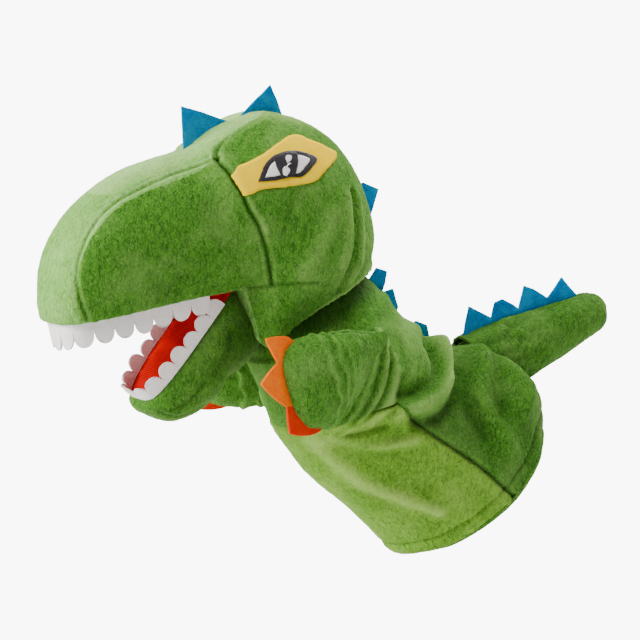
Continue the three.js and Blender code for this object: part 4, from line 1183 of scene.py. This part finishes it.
def sleeve_relief(points):
    """How far the cloth stands off its smooth form, and its painted light and shade."""
    up, back = sleeve_coordinates(points)
    flat = np.stack([up, back], axis=1)
    aside = np.abs(points[:, 0])
    side = np.where(back > 20, smoothstep(2, 16, aside), smoothstep(8, 30, aside))
    other = points[:, 0] < 0
    move = np.zeros(len(points))
    tone = np.zeros(len(points))
    # Each fold paints its ridge lighter as painted highlight and its valley darker as painted shade.
    for number, (line, width, height, shade) in enumerate(FOLDS):
        near = bump(distance_to(flat, fine_line(line, 4)), width) * side
        share = np.where(other, 0.75 + 0.25 * math.cos(number), 1.0)
        move += height * near * share
        tone += shade * near * share
    move += arm_hump(points)
    move += 9.0 * smoothstep(-22, -58, back) * bump(up - 84, 46) + 3.0 * bump(back + 60, 30) * bump(up - 20, 30)
    seam = np.abs(back - seam_back(up)) * 0.97
    on_side = smoothstep(20, 34, aside) * smoothstep(109, 103, up)
    move -= 2.0 * bump(seam, 1.5) * on_side
    move += 1.0 * bump(seam - 5, 3.0) * on_side
    # Painted shade in the side seam's groove, the back seam's groove and the hem's groove.
    tone -= 0.85 * bump(seam, 1.3) * on_side
    middle = np.where(back > 15, aside, 99)
    move -= 1.2 * bump(middle, 1.4)
    tone -= 0.6 * bump(middle, 1.0)
    hem = up - hem_lift(points)
    move -= 0.9 * bump(hem - 9.0, 1.2)
    tone -= 0.45 * bump(hem - 9.0, 0.9)
    move += 0.9 * bump(hem - 4.0, 3.2)
    # Painted shade low on the back panels, behind the side seam.
    tone -= 0.4 * smoothstep(88, 66, up) * smoothstep(-2, 8, back - seam_back(up))
    tail = np.linalg.norm(points - [0, *along(TAIL_PIVOT, TAIL_SLOPE, -6)], axis=1)
    move += 11.0 * smoothstep(58, 30, tail) * (back > 10)
    move -= 4.0 * bump(tail - 27, 4.0) * (back > 10)
    # Painted shade in the groove round the tail's root.
    tone -= 0.5 * bump(tail - 26, 3.0) * (back > 10)
    move += 1.0 * lattice(points / 34, 61) + 0.5 * lattice(points / 15, 63)
    move += 0.32 * pile_noise(points, 65, 2.4, (0, ALONG_SLEEVE[0], ALONG_SLEEVE[1]))
    return move, tone


def arm_hump(points):
    """The sleeve's cloth rises towards the root of each arm, which is part of it."""
    across = points[:, 1:] - ARM_ROOT[1:]
    back = across @ np.array([0.899, -0.438])
    high = across @ np.array([0.438, 0.899])
    fall = np.where(back > 0, bump(back, 30), bump(back, 13))
    return 12.5 * fall * np.exp(-((high / 33) ** 4)) * smoothstep(25, 42, np.abs(points[:, 0]))


def hem_lift(points):
    """The hem rises at the belly and rounds off at its front corner."""
    _, back = sleeve_coordinates(points)
    near = smoothstep(20, 40, np.abs(points[:, 0]))
    return 6 * smoothstep(-40, -66, back) + 3 * smoothstep(30, 62, back) - 6 * bump(back, 40) * near


def sleeve_panel(name, start, end, columns, finish="green", rows=110):
    """A panel of the sleeve between two seams; start and end give the angle at each share."""
    shares = np.linspace(0, SLEEVE_END, rows)
    grid_share = np.repeat(shares, columns)
    t = np.tile(np.linspace(0, 1, columns), rows)
    a, b = np.repeat(start(shares), columns), np.repeat(end(shares), columns)
    angle = a + (b - a) * t
    base = sleeve_surface(grid_share, angle)
    up, _ = sleeve_coordinates(base)
    fade = smoothstep(70, 0, up)
    lifted = sleeve_surface(grid_share + hem_lift(base) * fade / SLEEVE_LENGTH, angle)
    step = 1e-3
    along_up = sleeve_surface(grid_share + step, angle) - sleeve_surface(grid_share - step, angle)
    along_round = sleeve_surface(grid_share, angle + step) - sleeve_surface(grid_share, angle - step)
    normal = np.cross(along_round, along_up)
    normal /= np.linalg.norm(normal, axis=1, keepdims=True)
    move, tone = sleeve_relief(lifted)
    obj = object_from(name, lifted + normal * move[:, None], grid_faces(rows, columns, False))
    set_light_and_shade(obj, tone)
    inside = Vector(m(sleeve_point(60, 0)))
    if sum(p.normal.dot(p.center - inside) for p in obj.data.polygons) < 0:
        obj.data.flip_normals()
    thicken(obj, 2.2)
    dress(obj, finish, "torso", (name.removesuffix("_cloth"),))


def seam_angle(shares):
    """The angle round the sleeve at which its left side seam lies."""
    frame_shares, lows, highs, _ = SLEEVE_FRAME
    low, high = spline(frame_shares, lows, shares), spline(frame_shares, highs, shares)
    centre, reach = (low + high) / 2, (high - low) / 2
    wanted = seam_back(shares * SLEEVE_LENGTH)
    w = (wanted - centre @ BACK_OF_SLEEVE) / (reach @ BACK_OF_SLEEVE)
    return np.arcsin(np.clip(signed_power(w, 2.15 / 2), -1, 1))


def make_sleeve():
    def spine(shares):
        return np.full(len(shares), np.pi / 2)

    sleeve_panel("torso_back_left_cloth", seam_angle, spine, 110)
    sleeve_panel("torso_back_right_cloth", spine, lambda shares: np.pi - seam_angle(shares), 110)
    sleeve_panel("torso_belly_cloth", lambda shares: -np.pi - seam_angle(shares), seam_angle, 170,
                 "belly")
    make_hem()


def hem_ring(share, inset, columns):
    """A ring round the hem, drawn in by inset."""
    angle = 2 * np.pi * np.arange(columns) / columns
    base = sleeve_surface(np.full(columns, share), angle)
    ring = sleeve_surface(share + hem_lift(base) / SLEEVE_LENGTH, angle)
    out = ring - ring.mean(axis=0)
    return ring - out / np.linalg.norm(out, axis=1, keepdims=True) * inset


def make_hem():
    """The turned-in hem."""
    rows, columns = 26, 200
    turn = [(0.085, 4.6), (0.05, 4.4), (0.015, 4.0), (-0.004, 3.0), (-0.012, 1.4), (-0.004, -0.1),
            (0.008, -0.5)]
    rings = resample([hem_ring(share, inset, columns) for share, inset in turn], rows)
    obj = grid_object("hem_roll", rings, rows, columns, True)
    points, normals = points_of(obj), normals_of(obj)
    move = 0.3 * pile_noise(points, 71) + 0.4 * lattice(points / 12, 73)
    move_points(obj, points + normals * move[:, None])
    thicken(obj, 1.0, 0)
    outwards(obj)
    set_light_and_shade(obj, np.zeros(len(obj.data.vertices)))
    dress(obj, "green", "torso", ("hem_band",))


# ------------------------------------------------------------------ neck
def make_neck():
    """The sleeve's cloth from the shoulders up into the head, as one piece."""
    rows, columns = 130, 288
    angle = 2 * np.pi * np.arange(columns) / columns
    shares = np.linspace(SLEEVE_END - 0.004, 1.0, 60)
    rings = [sleeve_surface(np.full(columns, share), angle) for share in shares]
    for into, radius in [(-6.5, 46.0), (-3, 45.0), (2, 43.0), (7, 40.5), (11, 37.5), (14, 34.0)]:
        centre = along(NECK, NECK_UP, into)
        low, high = along(centre, NECK_TILT, -radius), along(centre, NECK_TILT, radius)
        turn = oval(low, high, radius * 0.97, columns=columns)
        rings.append(match_turn(turn, rings[-1]))
    obj = grid_object("neck_cloth", resample(rings, rows), rows, columns, True)
    points, normals = points_of(obj), normals_of(obj)
    move, tone = sleeve_relief(points)
    into = (points[:, 1:] - NECK) @ INTO_HEAD
    keep = smoothstep(-6, -20, into)
    move *= keep
    # The sleeve's painted light and shade fades out here, and painted shade darkens the cloth deep inside the head's
    # opening.
    tone = tone * (0.3 + 0.7 * keep) - 0.75 * smoothstep(-6, 4, into)
    move += 0.25 * pile_noise(points, 81) * (1 - keep)
    move_points(obj, points + normals * move[:, None])
    set_light_and_shade(obj, tone)
    thicken(obj, 2.2)
    dress(obj, "green", None, ("neck_sleeve",))
    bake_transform(obj)


def match_turn(ring, other):
    """A ring of the same number of points, started and turned like another."""
    start = np.argmin(np.linalg.norm(ring - other[0], axis=1))
    turned = np.roll(ring, -start, axis=0)
    back = np.concatenate([turned[:1], turned[:0:-1]])
    quarter = len(ring) // 4
    forward_gap = np.linalg.norm(turned[quarter] - other[quarter])
    return turned if forward_gap < np.linalg.norm(back[quarter] - other[quarter]) else back


# ------------------------------------------------------------------ arms
# Rings of the arm as shares of its length, width and thickness.
ARM = [(0, 1.06, 0.5), (0.16, 1.04, 0.8), (0.4, 1, 1.04), (0.64, 0.95, 1.04), (0.82, 0.86, 0.9), (0.92, 0.7, 0.68),
       (0.985, 0.46, 0.36)]
ARM_FORWARD = np.array([math.sin(math.radians(20)), -math.cos(math.radians(20)), 0])


def arm_frame(share):
    tilt = math.radians(26 - 42 * share)
    up = np.array([0, math.sin(tilt), math.cos(tilt)])
    out = np.cross(up, ARM_FORWARD)
    out /= np.linalg.norm(out) * (1 if out[0] > 0 else -1)
    return ARM_ROOT + ARM_FORWARD * share * ARM_LENGTH, up, out


def arm_ring(share, width, thickness, columns=96):
    middle, up, out = arm_frame(share)
    turn = 2 * np.pi * np.arange(columns) / columns
    high = signed_power(np.sin(turn), 0.9) * width * ARM_WIDTH / 2
    side = signed_power(np.cos(turn), 0.9) * thickness * ARM_THICKNESS / 2
    return middle + np.outer(high, up) + np.outer(side, out)


def claw_point(degrees, reach):
    """A point off the arm's round end, at an angle round it and a distance out."""
    turn = math.radians(degrees)
    middle, up, _ = arm_frame(1)
    back = 0.34 * ARM_LENGTH
    edge = middle + ARM_FORWARD * ((back + 3.2) * math.cos(turn) - back)
    edge += up * (0.48 * ARM_WIDTH + 1.6) * math.sin(turn)
    way = ARM_FORWARD * (math.cos(turn) + 0.35) + up * 0.6 * math.sin(turn)
    return edge + way / np.linalg.norm(way) * reach


def make_claws():
    """A felt strip round the paddle's end, cut into three pointed claws; the lowest is another felt."""
    rows, columns = 10, 120
    # The free edge as (angle round the end, height off it), from the lowest valley up.
    edge = [(-86, 0.5), (-52, 13.5), (-26, 2.5), (4, 17.5), (28, 2.5), (53, 15.5), (75, 1.5)]
    angles, heights = np.array(edge).T
    turns = np.linspace(75, -86, columns)
    reach = np.interp(turns, angles, heights)
    reach = heights.min() + (reach - heights.min()) ** 1.12 / (18 ** 0.12)
    shares = np.linspace(0, 1, rows)
    points = np.array([[claw_point(turn, -7.0 * (1 - t) + r * t) for turn, r in zip(turns, reach)]
                       for t in shares])
    wave = 0.8 * np.outer(shares, np.sin(turns / 16))
    obj = grid_object("claws_left_felt", points + wave[:, :, None] * arm_frame(1)[2], rows, columns)
    high = face_centres(obj)[:, 2] >= claw_point(-26, 0)[2]
    for name, keep, finish, nodes, flat, area in [
            ("claws_left_top_felt", high, "orange", ("claws_left",), (0.05, 0.021), 0.00086),
            ("claw_left_lowest_felt", ~high, "red_orange", (), (0.03, 0.018), 0.00044)]:
        piece = copy_faces(obj, name, keep)
        thick_felt(piece, 1.8, 0.35)
        right = mirrored(piece, name.replace("left", "right"))
        dress(piece, finish, "arm_left", nodes)
        dress(right, finish, "arm_right", [node.replace("left", "right") for node in nodes])
    discard(obj)


def make_arms():
    rings = [arm_ring(-0.2, 0.92, 0.2), arm_ring(-0.12, 1.1, 0.4)] + [arm_ring(*station) for station in ARM]
    rings.append(arm_ring(1.0, 0.24, 0.16))
    arm = loft_object("arm_left_cloth", resample(rings, 90))
    remesh(arm, 1.5, 3)
    swell(arm, 1.6)
    subdivide(arm)
    points, normals = points_of(arm), normals_of(arm)
    share = (points - ARM_ROOT) @ ARM_FORWARD / ARM_LENGTH
    tall, out = np.empty(len(points)), np.empty(len(points))
    for number, (point, at) in enumerate(zip(points, share)):
        middle, up, away = arm_frame(at)
        tall[number], out[number] = (point - middle) @ up, (point - middle) @ away
    lean = share - 0.004 * tall - 0.03 * np.sin(tall / 9)
    pleats = np.zeros(len(points))
    for place, width, size in ((0.5, 0.02, 1.0), (0.33, 0.02, 0.8), (0.19, 0.03, 0.6), (0.07, 0.04, 0.5)):
        behind = np.where(lean + 0.02 * np.sin(tall * place) < place, 2.6 * width, width)
        pleats += size * bump(lean + 0.02 * np.sin(tall * place) - place, behind)
    pleats -= 0.4
    seam = np.abs(out)
    edge = smoothstep(0.78, 1.0, np.abs(tall) / (ARM_WIDTH / 2 * 0.95)) + smoothstep(0.85, 0.98, share)
    on_edge = np.clip(edge, 0, 1)
    pleats *= smoothstep(0.75, 0.5, share)
    move = 1.5 * pleats - 1.1 * bump(seam, 1.2) * on_edge + 0.5 * bump(seam - 3, 2) * on_edge
    move += 0.5 * lattice(points / 14, 91) + 0.28 * pile_noise(points, 93)
    # Painted highlight on the pleats' ridges; painted shade in their valleys and in the seam's groove.
    tone = 0.3 * pleats - 0.75 * bump(seam, 0.9) * on_edge
    move_points(arm, points + normals * move[:, None])
    set_light_and_shade(arm, tone)
    right = mirrored(arm, "arm_right_cloth")
    for piece, side, sign in [(arm, "left", [1, 1, 1]), (right, "right", [-1, 1, 1])]:
        dress(piece, "green", None, (f"arm_skin_{side}", f"arm_stuffing_{side}"))
        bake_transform(piece)
    make_claws()


# ------------------------------------------------------------------ tail
TAIL_MIDDLE = np.array([0, *TAIL_PIVOT])
TAIL_AXIS = np.array([0, *along((0, 0), TAIL_SLOPE, 1)])
TAIL_UP = np.array([0, *along((0, 0), TAIL_SLOPE + 90, 1)])


def tail_ring(distance, radius, columns=144):
    turn = 2 * np.pi * np.arange(columns) / columns
    centre = TAIL_MIDDLE + TAIL_AXIS * distance
    return centre + radius * (np.outer(np.cos(turn), [1, 0, 0]) + np.outer(np.sin(turn), TAIL_UP))


def tail_coordinates(points):
    offset = points - TAIL_MIDDLE
    return offset @ TAIL_AXIS, offset @ TAIL_UP


def make_tail():
    rings = [tail_ring(-36, 15.0), tail_ring(-20, 18.4), tail_ring(-8, 20.0), tail_ring(0, 21.8)]
    for share in (0.17, 0.33, 0.5, 0.66, 0.83, 1.0):
        radius = TAIL_RADIUS + (TAIL_TIP_RADIUS - TAIL_RADIUS) * share + math.sin(math.pi * share)
        rings.append(tail_ring(share * TAIL_STRAIGHT, radius))
    for degrees in (25, 48, 68, 82):
        turn = math.radians(degrees)
        past, radius = TAIL_TIP_RADIUS * math.sin(turn), TAIL_TIP_RADIUS * math.cos(turn)
        rings.append(tail_ring(TAIL_STRAIGHT + past, radius))
    tail = loft_object("tail", resample(rings, 100))
    remesh(tail, 1.7, 4)
    swell(tail, 1.5)
    subdivide(tail)
    points, normals = points_of(tail), normals_of(tail)
    distance, high = tail_coordinates(points)
    ridge = np.where(high > 0, np.abs(points[:, 0]), 99)
    keel = np.where(high < 0, np.abs(points[:, 0]), 99)
    pleats = np.sin(np.arctan2(high, points[:, 0]) * 11) * smoothstep(16, 0, distance)
    move = -1.2 * bump(ridge, 1.4) - 1.2 * bump(keel, 1.4) + 0.7 * bump(ridge - 4, 2.5) + 0.6 * pleats
    move += 0.8 * lattice(points / 16, 101) + 0.3 * pile_noise(points, 103)
    # Painted shade: the whole tail darker, darker still in the seam grooves; painted highlight on the pleats' ridges.
    tone = -0.25 - 0.5 * bump(ridge, 1.2) - 0.5 * bump(keel, 1.2) + 0.15 * pleats
    move_points(tail, points + normals * move[:, None])
    set_light_and_shade(tail, tone)
    left = face_centres(tail)[:, 0] > 0
    for side, keep, nodes in [("left", left, ("tail_skin_left", "tail_stuffing")),
                              ("right", ~left, ("tail_skin_right",))]:
        panel = copy_faces(tail, f"tail_{side}_cloth", keep)
        dress(panel, "green", None, nodes)
        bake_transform(panel)
    discard(tail)
    make_tail_root()


def make_tail_root():
    """The gathered ring of cloth between the sleeve's back and the tail."""
    rows, columns = 30, 144
    rings = [tail_ring(*station) for station in [(-30, 22.4), (-18, 22.8), (-8, 22.4), (-3, 21.9), (-1, 20.8)]]
    obj = grid_object("tail_root_cloth", resample(rings, rows), rows, columns, True)
    points, normals = points_of(obj), normals_of(obj)
    turn = np.arctan2(tail_coordinates(points)[1], points[:, 0])
    gather = np.sin(turn * 13 + 2 * np.sin(turn * 3))
    move = 0.3 * gather + 0.3 * lattice(points / 12, 111)
    # Painted light and shade: lighter on the gathers' ridges, darker in their valleys, and the whole ring darker.
    tone = 0.2 * gather - 0.3
    move_points(obj, points + normals * (move + 0.25 * pile_noise(points, 113))[:, None])
    set_light_and_shade(obj, tone)
    thicken(obj, 1.8)
    dress(obj, "green", None, ("tail_root_panel",))
    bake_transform(obj)


# ------------------------------------------------------------------ inside
def make_inside():
    """The pieces that only show through the openings: pockets and card."""
    for node, body, board, flat in (("finger_pocket", "head", "palate_board_upper", (0.13, 0.085)),
                                    ("thumb_pocket", "jaw", "palate_board_lower", (0.09, 0.05))):
        source = bpy.data.objects[node]
        obj = source.copy()
        obj.data = source.data.copy()
        obj.name = f"{node}_cloth"
        obj.parent = None
        obj.matrix_world = source.matrix_world
        bpy.context.scene.collection.objects.link(obj)
        obj.data.materials.clear()
        edit(obj, lambda b: bmesh.ops.remove_doubles(b, verts=b.verts[:], dist=1e-5))
        subdivide(obj, 2)
        dress(obj, "pocket", body, (node,))
    for node in ("palate_board_upper", "palate_board_lower"):
        board = bpy.data.objects[node]
        board.data.materials.clear()
        board.data.materials.append(MATERIALS["card"])


# ------------------------------------------------------------------ the puppet
HEAD_TREE = make_head()
make_jaw()
make_mouth()
make_eyes(HEAD_TREE)
make_spikes()
make_sleeve()
make_neck()
make_arms()
make_tail()
make_inside()
